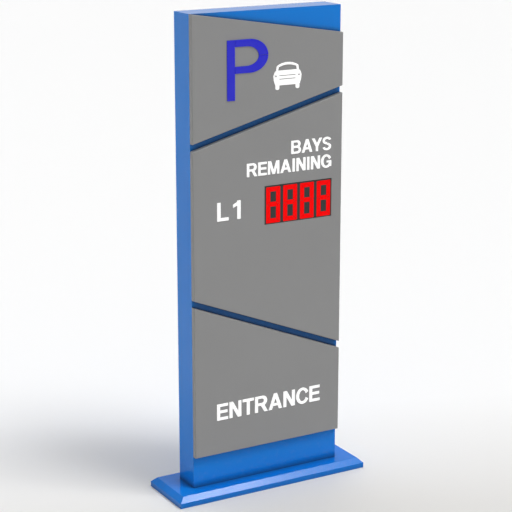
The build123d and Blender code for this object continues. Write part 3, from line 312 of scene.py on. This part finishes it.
def circuit_board(name):
    """Green solder mask over copper tracks."""
    s = Shader(name, IOR=1.5, Roughness=0.3)
    grid = s.cells(240, "DISTANCE_TO_EDGE", "Distance", at=s.stretched((1.0, 0.0, 1.0)), randomness=0.5)
    track = s.span(grid, 0.10, 0.06)
    s.set("Base Color", s.mix(track, rgb(14, 74, 42), rgb(38, 118, 62)))
    s.bump(track, 0.25, 0.0001)
    return s.material


BLUE, BLUE_SHADE = (0.0045, 0.215, 0.735, 1.0), (0.0040, 0.207, 0.720, 1.0)
GREY, GREY_SHADE = (0.284, 0.285, 0.287, 1.0), (0.275, 0.276, 0.278, 1.0)

LOOKS = {
    "blue_paint": gloss_paint("gloss_blue_enamel", BLUE, BLUE_SHADE),
    # the plinth gets a weaker painted shade in its gaps and corners
    "plinth_paint": gloss_paint(
        "gloss_blue_plinth", (0.0030, 0.200, 0.720, 1.0), (0.0026, 0.192, 0.700, 1.0), painted_recess_shade=0.55
    ),
    "grey_panel": powder_coat("satin_grey_powder", GREY, GREY_SHADE),
    "zinc_plate": galvanised("zinc_sheet"),
    "frame_primer": frame_primer("zinc_primer"),
    "stainless": brushed("stainless_steel", (0.62, 0.61, 0.60, 1.0), 2),
    "latch_chrome": chromed("plated_latch"),
    "parking_blue": acrylic("parking_blue_acrylic", (0.017, 0.018, 0.640, 1.0)),
    # painted light: the white letters and the terminal tags glow, though no lamp is behind them
    "white_acrylic": acrylic("white_acrylic_painted_glow", (0.93, 0.93, 0.93, 1.0), glow=0.32),
    "housing_black": moulded("housing_black", (0.014, 0.019, 0.019, 1.0), 0.34),
    "led_red": lit_lens("red_lens"),
    "circuit_board": circuit_board("solder_mask"),
    "seal_rubber": rubber("seal_rubber"),
    "filter_felt": felt("filter_fleece"),
    "supply_case": brushed("brushed_aluminium_case", (0.66, 0.67, 0.68, 1.0), 2, 0.34),
    "device_grey": moulded("device_grey_plastic", rgb(178, 180, 180), 0.40),
    "device_black": moulded("device_black_plastic", (0.018, 0.018, 0.020, 1.0), 0.40),
    "lead_sheath": moulded("lead_sheath", (0.020, 0.020, 0.021, 1.0), 0.50, 500.0, 0.2),
}

for part in frame["record"]["subparts"]:
    node = NODES[part["node"]]
    for material_slot in node.material_slots:
        material_slot.material = LOOKS[part["material_slot"]]


# ---------------------------------------------------------------- mesh helpers
MM = 0.001
X, Y, Z = Vector((1, 0, 0)), Vector((0, 1, 0)), Vector((0, 0, 1))
RANDOM = random.Random(11)


def ring(centre, across, over, radius, count):
    """Points round a circle in the plane of two unit vectors."""
    points = []
    for step in range(count):
        turn = 2 * math.pi * step / count
        points.append(centre + (across * math.cos(turn) + over * math.sin(turn)) * radius)
    return points


class Shape:
    """A mesh piece under construction, made of closed shells. All its sizes are in millimetres."""

    def __init__(self):
        self.mesh = bmesh.new()

    def skin(self, rings, closed=False):
        """Joins rings of equally many points, capped at both ends unless the last ring meets the first."""
        rows = [[self.mesh.verts.new(point * MM) for point in ring] for ring in rings]
        pairs = list(zip(rows, rows[1:]))
        if closed:
            pairs.append((rows[-1], rows[0]))
        for one, two in pairs:
            for i, corner in enumerate(one):
                j = (i + 1) % len(one)
                self.mesh.faces.new((corner, one[j], two[j], two[i]))
        if not closed:
            self.mesh.faces.new(rows[0])
            self.mesh.faces.new(rows[-1])

    def turned(self, centre, axis, profile, sides=20, closed=False):
        """A turned shell. The profile's points are (radius, height along the axis), and a third value makes
        that ring a regular polygon with so many corners, for a hexagon or a socket."""
        across = axis.orthogonal().normalized()
        over = axis.cross(across)
        rings = []
        for radius, height, *corners in profile:
            points = []
            for step in range(sides):
                angle = 2 * math.pi * step / sides
                reach = radius
                if corners:
                    part = 2 * math.pi / corners[0]
                    reach = radius * math.cos(part / 2) / math.cos(angle % part - part / 2)
                outward = across * math.cos(angle) + over * math.sin(angle)
                points.append(centre + axis * height + outward * reach)
            rings.append(points)
        self.skin(rings, closed)

    def tube(self, points, radius, sides=10, closed=False, ripple=0.0):
        """A round bar along a line of points. A ripple varies its radius, as a weld bead's does."""
        across, rings = None, []
        for i, point in enumerate(points):
            if closed:
                ahead, behind = points[(i + 1) % len(points)], points[i - 1]
            else:
                ahead, behind = points[min(i + 1, len(points) - 1)], points[max(i - 1, 0)]
            along = (ahead - behind).normalized()
            across = along.orthogonal() if across is None else across - along * across.dot(along)
            across.normalize()
            over = along.cross(across)
            reach = radius * (1 + ripple * ((i % 3) - 1) + ripple * 0.5 * RANDOM.uniform(-1, 1))
            rings.append(ring(point, across, over, reach, sides))
        self.skin(rings, closed)

    def slab(self, low, high, soft=0.6):
        """A block between two corners, with rounded edges."""
        low, high = Vector(low), Vector(high)
        place = Matrix.Translation((low + high) / 2 * MM) @ Matrix.Diagonal((*((high - low) * MM), 1.0))
        corners = bmesh.ops.create_cube(self.mesh, size=1.0, matrix=place)["verts"]
        edges = list(dict.fromkeys(edge for corner in corners for edge in corner.link_edges))
        bmesh.ops.bevel(self.mesh, geom=edges, offset=soft * MM, segments=2, affect="EDGES")

    def screw(self, centre, axis, radius, height=None):
        """A button head with a hexagon socket, standing on its centre point."""
        height = height or 0.55 * radius
        head = [(radius, 0), (radius, 0.35 * height), (0.86 * radius, 0.8 * height)]
        socket = [(0.62 * radius, height), (0.50 * radius, height, 6), (0.46 * radius, 0.4 * height, 6)]
        self.turned(centre, axis, head + socket)

    def piece(self, name, material, body, slot):
        """Turns the shells into an object that rides on a body."""
        bmesh.ops.recalc_face_normals(self.mesh, faces=self.mesh.faces[:])
        mesh = bpy.data.meshes.new(name)
        self.mesh.to_mesh(mesh)
        self.mesh.free()
        mesh.materials.append(material)
        mesh.polygons.foreach_set("use_smooth", [True] * len(mesh.polygons))
        mesh.set_sharp_from_angle(angle=math.radians(38))
        item = bpy.data.objects.new(name, mesh)
        bpy.context.scene.collection.objects.link(item)
        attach(item, body)
        return item


def corners_of(node):
    """A CAD node's lowest and highest corner, in millimetres."""
    low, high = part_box(node)
    return Vector(low) / MM, Vector(high) / MM


def rounded_loop(half, low, high, y, radius, steps=6):
    """Points round an upright rectangle, +-half wide and from low to high, with round corners."""
    loop = []
    centres = ((1, high, 0), (-1, high, 1), (-1, low, 2), (1, low, 3))
    for side, height, quarter in centres:
        inward = -1 if height == high else 1
        for step in range(steps + 1):
            angle = (quarter + step / steps) * math.pi / 2
            x = side * (half - radius) + radius * math.cos(angle)
            z = height + inward * radius + radius * math.sin(angle)
            loop.append(Vector((x, y, z)))
    return loop


# ---------------------------------------------------------------- soft parts that replace plain CAD solids
def make_gasket():
    """A hollow-bulb seal: a flat foot on the door stop, and the bulb that the door presses."""
    low, high = corners_of("door_gasket")
    foot, bulb, corner = 10.0, 2.15, 13.0
    profile = [(0.0, 0.0), (foot, 0.0), (foot, 1.5), (foot - 1.9, 2.1)]
    for step in range(13):
        angle = math.radians(-30 + 20 * step)
        profile.append((foot / 2 + bulb * math.cos(angle), 4.0 + bulb * math.sin(angle)))
    profile += [(1.9, 2.1), (0.0, 1.5)]
    shape = Shape()
    loops = [rounded_loop(high.x - u, low.z + u, high.z - u, low.y + v, corner - u) for u, v in profile]
    shape.skin(loops, closed=True)
    gasket = shape.piece("door_seal_bulb", LOOKS["seal_rubber"], CABINET, "seal_rubber")
    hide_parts("door_gasket")


def make_filters():
    """Pleated filter pads, each in its folded edge."""
    low, high = corners_of("vent_filters")
    height, depth, corner, edge, pleats, fleece = 108.0, 8.0, 8.0, 6.0, 12, 0.9
    middle, swing = (low.y + high.y) / 2, 2.9
    rim = [(0, 0.6), (0.6, 0), (edge, 0), (edge, depth), (0.6, depth), (0, depth - 0.6)]
    shape = Shape()
    for bottom in (low.z, high.z - height):
        top = bottom + height
        loops = [rounded_loop(high.x - u, bottom + u, top - u, low.y + v, corner - u) for u, v in rim]
        shape.skin(loops, closed=True)
        near, far = [], []
        steps = pleats * 8
        for step in range(steps + 1):
            z = bottom + edge - 0.5 + (height - 2 * edge + 1) * step / steps
            wave = 2 / math.pi * math.asin(0.985 * math.sin(2 * math.pi * pleats * step / steps))
            near.append((middle + swing * wave - fleece / 2, z))
            far.append((middle + swing * wave + fleece / 2, z))
        outline = near + far[::-1]
        reach = high.x - edge + 0.5
        shape.skin([[Vector((x, y, z)) for y, z in outline] for x in (-reach, reach)])
    pads = shape.piece("pleated_filters", LOOKS["filter_felt"], DOOR, "filter_felt")
    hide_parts("vent_filters")


def make_grommet():
    """A ribbed rubber grommet round the cable hole in the base plate."""
    low, high = corners_of("cable_entry_grommet")
    flange, bore, seat, plate_top = high.x, 20.0, 29.7, 12.0
    profile = [
        (seat, low.z), (seat, plate_top), (flange - 0.5, plate_top), (flange, plate_top + 0.6),
        (flange, high.z - 1.6), (flange - 1.6, high.z), (bore + 2.4, high.z), (bore + 0.8, high.z - 0.6),
    ]
    ribs = 12
    for step in range(ribs + 1):
        depth = 0.9 if step % 3 == 1 else 0.0
        profile.append((bore + depth, high.z - 1.6 - (high.z - low.z - 2.4) * step / ribs))
    profile += [(bore + 0.8, low.z)]
    shape = Shape()
    shape.turned(Vector((0, 0, 0)), Z, profile, sides=48, closed=True)
    grommet = shape.piece("ribbed_cable_grommet", LOOKS["seal_rubber"], CABINET, "seal_rubber")
    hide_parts("cable_entry_grommet")


# ---------------------------------------------------------------- welds
RAIL_BOTTOMS = (130.0, 600.0, 1090.0, 1330.0, 1955.0)
RAIL_HEIGHT = 30.0
GUSSET_LEG, GUSSET_HALF = 38.0, 3.0
TUBE_CORNER = 4.0


def densely(points, pitch=1.6):
    """The same line of points, with more along its straight stretches."""
    line = []
    for one, two in zip(points, points[1:]):
        count = max(1, round((two - one).length / pitch))
        line += [one.lerp(two, step / count) for step in range(count)]
    return line + [points[-1]]


def make_welds():
    """Rippled fillet welds where the frame's tubes, gussets and base plate meet."""
    shape = Shape()
    cut = TUBE_CORNER
    floor = corners_of("base_plate")[1].z + 0.7
    for side, sign in (("left", -1), ("right", 1)):
        low, high = corners_of(f"frame_post_{side}")
        round_foot = [
            Vector((x, y, floor))
            for x, y in (
                (low.x + cut, low.y), (high.x - cut, low.y), (high.x, low.y + cut), (high.x, high.y - cut),
                (high.x - cut, high.y), (low.x + cut, high.y), (low.x, high.y - cut), (low.x, low.y + cut),
                (low.x + cut, low.y),
            )
        ]
        shape.tube(densely(round_foot)[:-1], 2.0, 8, closed=True, ripple=0.10)

        inner = low.x if sign > 0 else high.x
        for bottom in RAIL_BOTTOMS:
            top = bottom + RAIL_HEIGHT
            end = inner - sign * 0.6
            path = [
                Vector((end, y, z))
                for y, z in (
                    (low.y + 3, top), (high.y - cut, top), (high.y, top - cut),
                    (high.y, bottom + cut), (high.y - cut, bottom), (low.y + 3, bottom),
                )
            ]
            shape.tube(densely(path), 1.9, 8, ripple=0.10)

        middle_y, middle_x = (low.y + high.y) / 2, (low.x + high.x) / 2
        for edge in (-GUSSET_HALF, GUSSET_HALF):
            foot = [
                Vector((inner - sign * GUSSET_LEG, middle_y + edge, floor)),
                Vector((inner, middle_y + edge, floor)),
                Vector((inner, middle_y + edge, floor + GUSSET_LEG)),
            ]
            back = [
                Vector((middle_x + edge, high.y + GUSSET_LEG, floor)),
                Vector((middle_x + edge, high.y, floor)),
                Vector((middle_x + edge, high.y, floor + GUSSET_LEG)),
            ]
            for path in (foot, back):
                shape.tube(densely(path), 1.6, 8, ripple=0.10)
    shape.piece("weld_beads", LOOKS["frame_primer"], CABINET, "frame_primer")


def make_spot_welds():
    """The round dents of the spot welds that hold the door's stiffeners."""
    low, high = corners_of("door_stiffeners")
    flange, pitch, hat, sheet = 9.0, 75.0, 80.0, 2.0
    dent = [(3.6, -0.1), (3.4, 0.22), (2.7, 0.26), (2.2, 0.10), (0.8, 0.08)]
    face = high.y - sheet
    shape = Shape()
    for x in (low.x + flange, low.x + hat - flange, high.x - hat + flange, high.x - flange):
        count = int((high.z - low.z - 40) / pitch)
        for i in range(count + 1):
            spot = Vector((x, face, low.z + 20 + i * pitch))
            shape.turned(spot, -Y, dent, sides=16)
    shape.piece("spot_weld_marks", LOOKS["zinc_plate"], DOOR, "zinc_plate")


# ---------------------------------------------------------------- fan guard
def make_fan_guard():
    """A wire finger guard on the back of the fan, held by the fan's four screws."""
    low, high = corners_of("fan_frame")
    centre = Vector((0, high.y + 1.2, (low.z + high.z) / 2))
    hole = 52.4  # from the fan's axis to a screw, each way
    wires = Shape()
    for radius in (12.0, 22.5, 33.0, 43.5, 54.0):
        wires.tube(ring(centre + Y * 1.4, X, Z, radius, 48), 0.75, 8, closed=True)
    screws = Shape()
    for x in (-1, 1):
        for z in (-1, 1):
            eye = centre + Vector((x * hole, 0, z * hole))
            spoke = [centre + Vector((x * 8, 0, z * 8)), eye - Vector((x * 2.4, 0, z * 2.4))]
            wires.tube(densely(spoke, 6), 0.8, 8)
            wires.tube(ring(eye, X, Z, 3.3, 20), 0.9, 8, closed=True)
            screws.screw(eye + Y * 0.8, Y, 4.0, 2.4)
    wires.turned(centre - Y * 0.5, Y, [(9.5, 0), (9.5, 1.6), (8.6, 2.1)], sides=32)
    wires.piece("fan_finger_guard", LOOKS["latch_chrome"], CABINET, "latch_chrome")
    screws.piece("fan_guard_screws", LOOKS["stainless"], CABINET, "stainless")


# ---------------------------------------------------------------- electrical details
SUPPLY_TERMINALS = 9
NEAR_Y, FAR_Y = -8.0, 4.0  # how deep the leads run, above and below the controller
DEVICE_LEAD, FAN_LEAD, MAINS_LEAD = 3.0, 2.2, 3.5  # radii
LEADS_UP = ((60.0, DEVICE_LEAD), (120.0, DEVICE_LEAD), (170.0, FAN_LEAD))
PLUGS = ((60.0, 14.0), (120.0, 9.5))  # place and half width


def make_supply_details():
    """The power supply's screw terminals, its lamp, its trimmer and its case screws."""
    low, high = corners_of("power_supply")
    left, right = low.x + 9, high.x - 9
    screw_left, screw_right = low.x + 6, high.x - 6
    lamp_z = low.z + 27
    pitch = (right - left) / SUPPLY_TERMINALS
    strip, screws, lamps = Shape(), Shape(), Shape()
    strip.slab((left, high.y - 13.8, low.z + 1), (right, high.y - 7, low.z + 19.5))
    strip.slab((left, high.y - 8, low.z + 15), (right, high.y - 2, low.z + 19.5))
    for i in range(SUPPLY_TERMINALS + 1):
        x = left + i * pitch
        strip.slab((x - 0.8, high.y - 13, low.z + 1), (x + 0.8, high.y - 1.5, low.z + 19.5), 0.3)
    for i in range(SUPPLY_TERMINALS):
        seat = Vector((left + (i + 0.5) * pitch, high.y - 7, low.z + 8))
        screws.slab(seat - Vector((3.8, 0.3, 4.0)), seat + Vector((3.8, 0.8, 4.0)), 0.3)
        screws.screw(seat + Y * 0.8, Y, 3.1, 2.2)
    for z in (high.z - 6, low.z + 28):
        for x in (screw_left, screw_right):
            screws.screw(Vector((x, high.y, z)), Y, 3.0, 1.5)
    trimmer = [(3.6, 0), (3.6, 1.6), (3.0, 2.0), (1.4, 2.0, 4), (1.2, 0.9, 4)]
    strip.turned(Vector((high.x - 22, high.y - 0.5, lamp_z)), Y, trimmer)
    lamp = [(1.6, 0), (1.6, 1.4), (1.3, 2.1), (0.7, 2.5)]
    lamps.turned(Vector((high.x - 36, high.y - 0.5, lamp_z)), Y, lamp)
    strip.piece("supply_terminal_strip", LOOKS["device_black"], CABINET, "device_black")
    screws.piece("supply_screws", LOOKS["stainless"], CABINET, "stainless")
    return lamps


def make_controller_details(lamps):
    """The controller's feet, lid, lid screws, lamps and cable glands."""
    low, high = corners_of("display_controller")
    case, screws, glands = Shape(), Shape(), Shape()
    case.slab((low.x + 12, high.y - 0.6, low.z + 12), (high.x - 12, high.y + 1.2, high.z - 12), 0.8)
    for z in (low.z + 30, high.z - 30):
        for inner, outer in ((low.x, low.x - 12), (high.x, high.x + 12)):
            foot = sorted((inner, outer))
            case.slab((foot[0] - 0.5, low.y + 0.1, z - 9), (foot[1] + 0.5, low.y + 3.2, z + 9), 0.8)
            screws.screw(Vector(((inner + outer) / 2, low.y + 3.2, z)), Y, 4.0)
    for x in (low.x + 6.5, high.x - 6.5):
        for z in (low.z + 6.5, high.z - 6.5):
            screws.screw(Vector((x, high.y - 0.3, z)), Y, 2.9, 1.6)
    for i in range(3):
        lamp = Vector((low.x + 26 + 10 * i, high.y + 1.0, high.z - 22))
        lamps.turned(lamp, Y, [(1.7, 0), (1.7, 1.0), (1.4, 1.7), (0.7, 2.1)])
    for x, lead in LEADS_UP:
        add_gland(glands, Vector((x, NEAR_Y, high.z)), Z, lead)
    add_gland(glands, Vector((100.0, FAR_Y, low.z)), -Z, DEVICE_LEAD)
    case.piece("controller_lid_and_feet", LOOKS["device_grey"], CABINET, "device_grey")
    screws.piece("controller_screws", LOOKS["stainless"], CABINET, "stainless")
    lamps.piece("status_lamps", LOOKS["led_red"], CABINET, "led_red")
    glands.piece("cable_glands", LOOKS["device_black"], CABINET, "device_black")


def add_gland(shape, seat, axis, lead):
    """A cable gland: a hexagon and a domed nut round a lead."""
    bore = lead + 0.15
    hexagon = [(bore, -0.4), (7.6, -0.4, 6), (7.6, 3.6, 6)]
    neck = [(6.4, 3.8), (6.4, 4.4)]
    dome = [(7.2, 4.6, 8), (7.2, 8.0, 8), (6.2, 10.4), (4.6, 12.2), (bore + 0.5, 12.8), (bore, 12.2)]
    shape.turned(seat, axis, hexagon + neck + dome, sides=24, closed=True)


def make_breaker_details():
    """Terminal screws, guide ribs and the clip of the circuit breaker."""
    low, high = corners_of("circuit_breaker")
    shoulder, nose_half = 28.0, 23.0
    nose_low, nose_high = (low.z + high.z) / 2 - nose_half, (low.z + high.z) / 2 + nose_half
    collar = [(4.2, 0), (5.4, 0), (5.4, 1.0), (5.0, 1.3), (4.2, 1.3)]
    ribs, screws = Shape(), Shape()
    for x in (low.x + 9, high.x - 9):
        for z, edge in ((low.z + 9, low.z), (high.z - 9, high.z)):
            ribs.turned(Vector((x, shoulder - 0.4, z)), Y, collar, closed=True)
            screws.screw(Vector((x, shoulder - 0.2, z)), Y, 3.6, 1.3)
            for y in (4.0, 13.0):
                ribs.slab((x - 4.5, y, edge - 0.7), (x + 4.5, y + 1.2, edge + 0.7), 0.25)
    for z in (nose_low + 4, nose_high - 7):
        ribs.slab((low.x + 3, high.y - 0.4, z), (high.x - 3, high.y + 0.5, z + 1.2), 0.25)
    middle = (low.x + high.x) / 2
    ribs.slab((middle - 5, low.y + 0.5, low.z - 5), (middle + 5, low.y + 3.5, low.z + 2), 0.5)
    ribs.piece("breaker_ribs_and_clip", LOOKS["device_black"], CABINET, "device_black")
    screws.piece("breaker_screws", LOOKS["stainless"], CABINET, "stainless")


def make_terminal_details():
    """Clamp screws, plain marker tags and end stops of the terminal row."""
    low, high = corners_of("terminal_blocks")
    count = 8
    pitch = (high.x - low.x + 0.2) / count
    tags, stops, screws = Shape(), Shape(), Shape()
    middle = (low.z + high.z) / 2
    for i in range(count):
        x = low.x + i * pitch
        tags.slab((x + 0.9, high.y - 0.5, middle - 4.5), (x + 7.1, high.y + 0.8, middle + 4.5), 0.4)
        for z in (middle - 21, middle + 21):
            screws.screw(Vector((x + 4, 17.0, z)), Y, 2.2, 1.6)
    for edge, sign in ((low.x, -1), (high.x, 1)):
        span = sorted((edge + sign * 0.3, edge + sign * 8))
        stops.slab((span[0], low.y - 5, middle - 22), (span[1], 12, middle + 22), 0.8)
        stops.slab((span[0] + 1, 11, middle - 9), (span[1] - 1, 19, middle + 9), 0.8)
        screws.screw(Vector(((span[0] + span[1]) / 2, 19, middle)), Y, 2.4, 1.4)
    # the tags share the white acrylic and its painted glow
    tags.piece("terminal_tags", LOOKS["white_acrylic"], CABINET, "white_acrylic")
    stops.piece("terminal_end_stops", LOOKS["device_black"], CABINET, "device_black")
    screws.piece("terminal_screws", LOOKS["stainless"], CABINET, "stainless")


def make_plugs():
    """Hooded plugs in the display's two sockets, with ribbed strain reliefs round their leads."""
    low, high = corners_of("display_sockets")
    hoods = Shape()
    for x, half in PLUGS:
        hoods.slab((x - half, high.y - 1, low.z + 1.5), (x + half, high.y + 3.5, high.z - 1.5), 1.0)
        hoods.slab((x - half + 2, low.y + 1, low.z - 7), (x + half - 2, high.y - 1, low.z + 1), 1.5)
        profile = [(3.1, 0.0)]
        for step in range(11):
            wide = 5.6 - 0.2 * step
            profile.append((wide - (0.7 if step % 2 else 0.0), 0.4 + 1.9 * step))
        profile.append((3.1, 19.8))
        hoods.turned(Vector((x, NEAR_Y, low.z - 6.5)), -Z, profile, closed=True)
    hoods.piece("display_plugs", LOOKS["device_black"], CABINET, "device_black")


TIE_WALL = -18.0  # rear face of the plates and the strip that the ties' bases stand on

# where the leads are tied down: a point on the lead, the direction it runs in and its radius
TIES = (
    ((60.0, NEAR_Y, 1040.0), Z, DEVICE_LEAD),
    ((120.0, NEAR_Y, 1040.0), Z, DEVICE_LEAD),
    ((170.0, NEAR_Y, 1060.0), Z, FAN_LEAD),
    ((60.0, NEAR_Y, 1125.0), Z, DEVICE_LEAD),
    ((120.0, NEAR_Y, 1125.0), Z, DEVICE_LEAD),
    *(((170.0, NEAR_Y, z), Z, FAN_LEAD) for z in (1140.0, 1240.0, 1338.0, 1440.0, 1540.0, 1640.0, 1735.0)),
    ((-142.0, FAR_Y, 800.0), Z, MAINS_LEAD),
    ((-100.0, FAR_Y, 836.0), Z, DEVICE_LEAD),
    ((-30.0, FAR_Y, 815.0), X, DEVICE_LEAD),
    ((50.0, FAR_Y, 815.0), X, DEVICE_LEAD),
    ((-90.0, FAR_Y, 650.0), X, MAINS_LEAD),
    ((-30.0, FAR_Y, 650.0), X, MAINS_LEAD),
)


def make_cable_ties():
    """Ties round the leads, each on a stand-off base stuck to the plate behind it."""
    ties = Shape()
    for place, axis, lead in TIES:
        centre = Vector(place)
        bore, band = lead + 0.1, lead + 1.1
        strap = [(bore, 0), (band, 0), (band + 0.1, 0.4), (band + 0.1, 3.2), (band, 3.6), (bore, 3.6)]
        ties.turned(centre - axis * 1.8, axis, strap, closed=True)
        side = axis.cross(Y)
        head = centre + side * (band + 1.6)
        reach = side * 2.0 + axis * 2.6 + Y * 2.3
        half = Vector((abs(reach.x), abs(reach.y), abs(reach.z)))
        ties.slab(head - half, head + half, 0.5)
        tail = head + side * 1.0
        ties.tube([tail, tail + side * 2.5 + Y * 1.5, tail + side * 4.0 + Y * 4.0], 0.8, 6)
        base = Vector((centre.x, TIE_WALL, centre.z))
        ties.slab(base + Vector((-9.5, 0.05, -9.5)), base + Vector((9.5, 2.4, 9.5)), 0.6)
        post = centre.y - lead - 0.8 - TIE_WALL
        ties.slab(base + Vector((-3.2, 2.0, -3.2)), base + Vector((3.2, post, 3.2)), 0.5)
    ties.piece("cable_ties", LOOKS["device_black"], CABINET, "device_black")


make_gasket()
make_filters()
make_grommet()
make_welds()
make_spot_welds()
make_fan_guard()
make_controller_details(make_supply_details())
make_breaker_details()
make_terminal_details()
make_plugs()
make_cable_ties()


# ---------------------------------------------------------------- floor, light and camera
def make_floor():
    """A matt paper floor, paler behind the object than in front of it: painted shade, standing for less
    light falling on the floor in front.
    """
    s = Shader("studio_floor", IOR=1.3, Roughness=0.55)
    place = s.add("ShaderNodeSeparateXYZ", {"Vector": s.place})
    x, y = place.outputs["X"], place.outputs["Y"]
    # painted shade: the floor's colour darkens towards the front
    painted_shade_gradient = s.math("ADD", s.math("MULTIPLY", y, 0.87), s.math("MULTIPLY", x, 0.30))
    near, far = (0.775, 0.765, 0.745, 1.0), (0.97, 0.97, 0.97, 1.0)
    s.set("Base Color", s.mix(s.span(painted_shade_gradient, -0.45, 0.75), near, far))
    mesh = bpy.data.meshes.new("studio_floor")
    half = 80.0
    corners = [(-half, -half, 0), (half, -half, 0), (half, half, 0), (-half, half, 0)]
    mesh.from_pydata(corners, [], [(0, 1, 2, 3)])
    floor = bpy.data.objects.new("studio_floor", mesh)
    floor.data.materials.append(s.material)
    bpy.context.scene.collection.objects.link(floor)


# direction it comes from, cosine where it starts, cosine where it is full, radiance
SKY = (
    ((0.0, 0.0, 1.0), -1.0, -0.999, 0.47),
    ((0.48, 0.85, 0.25), 0.80, 0.97, 0.25),
    ((0.0, 0.6, 0.8), 0.85, 0.98, 0.9),
    ((0.30, -0.44, 0.84), 0.958, 0.992, 9.7),
    ((0.42, -0.40, 0.81), 0.9975, 0.9997, 13.0),
)


def make_light():
    """A white room, brighter behind and above, with a bright soft window high on the front right."""
    world = bpy.data.worlds.new("studio")
    world.use_nodes = True
    tree = world.node_tree

    def node(kind, inputs, **settings):
        made = tree.nodes.new(kind)
        for key, value in settings.items():
            setattr(made, key, value)
        for key, value in inputs.items():
            if isinstance(value, bpy.types.NodeSocket):
                tree.links.new(value, made.inputs[key])
            else:
                made.inputs[key].default_value = value
        return made

    toward = tree.nodes.new("ShaderNodeTexCoord").outputs["Generated"]
    total = 0.0
    for direction, start, end, radiance in SKY:
        unit = tuple(Vector(direction).normalized())
        dot = node("ShaderNodeVectorMath", {0: toward, 1: unit}, operation="DOT_PRODUCT").outputs["Value"]
        ramp = node(
            "ShaderNodeMapRange",
            {"Value": dot, "From Min": start, "From Max": end, "To Min": 0.0, "To Max": radiance},
            interpolation_type="SMOOTHSTEP",
        ).outputs["Result"]
        total = node("ShaderNodeMath", {0: ramp, 1: total}, operation="ADD").outputs["Value"]
    background = tree.nodes["Background"]
    background.inputs["Color"].default_value = (1.0, 1.0, 1.0, 1.0)
    tree.links.new(total, background.inputs["Strength"])
    bpy.context.scene.world = world


CAMERA_PLACE = (-3.2611, -5.6389, 2.7495)
CAMERA_DOWN, CAMERA_RIGHT = 15.124, 29.943  # degrees below the horizon and right of +Y
CAMERA_LENS, CAMERA_SENSOR = 113.74, 36.0


def make_camera():
    """The camera in front of the object's left corner, above its top."""
    camera = bpy.data.cameras.new("camera")
    camera.lens, camera.sensor_width = CAMERA_LENS, CAMERA_SENSOR
    camera.clip_start, camera.clip_end = 0.1, 100.0
    holder = bpy.data.objects.new("camera", camera)
    holder.location = CAMERA_PLACE
    holder.rotation_euler = (math.radians(90.0 - CAMERA_DOWN), 0.0, math.radians(-CAMERA_RIGHT))
    bpy.context.scene.collection.objects.link(holder)
    bpy.context.scene.camera = holder


make_floor()
make_light()
make_camera()
bpy.context.scene.view_settings.view_transform = "Standard"
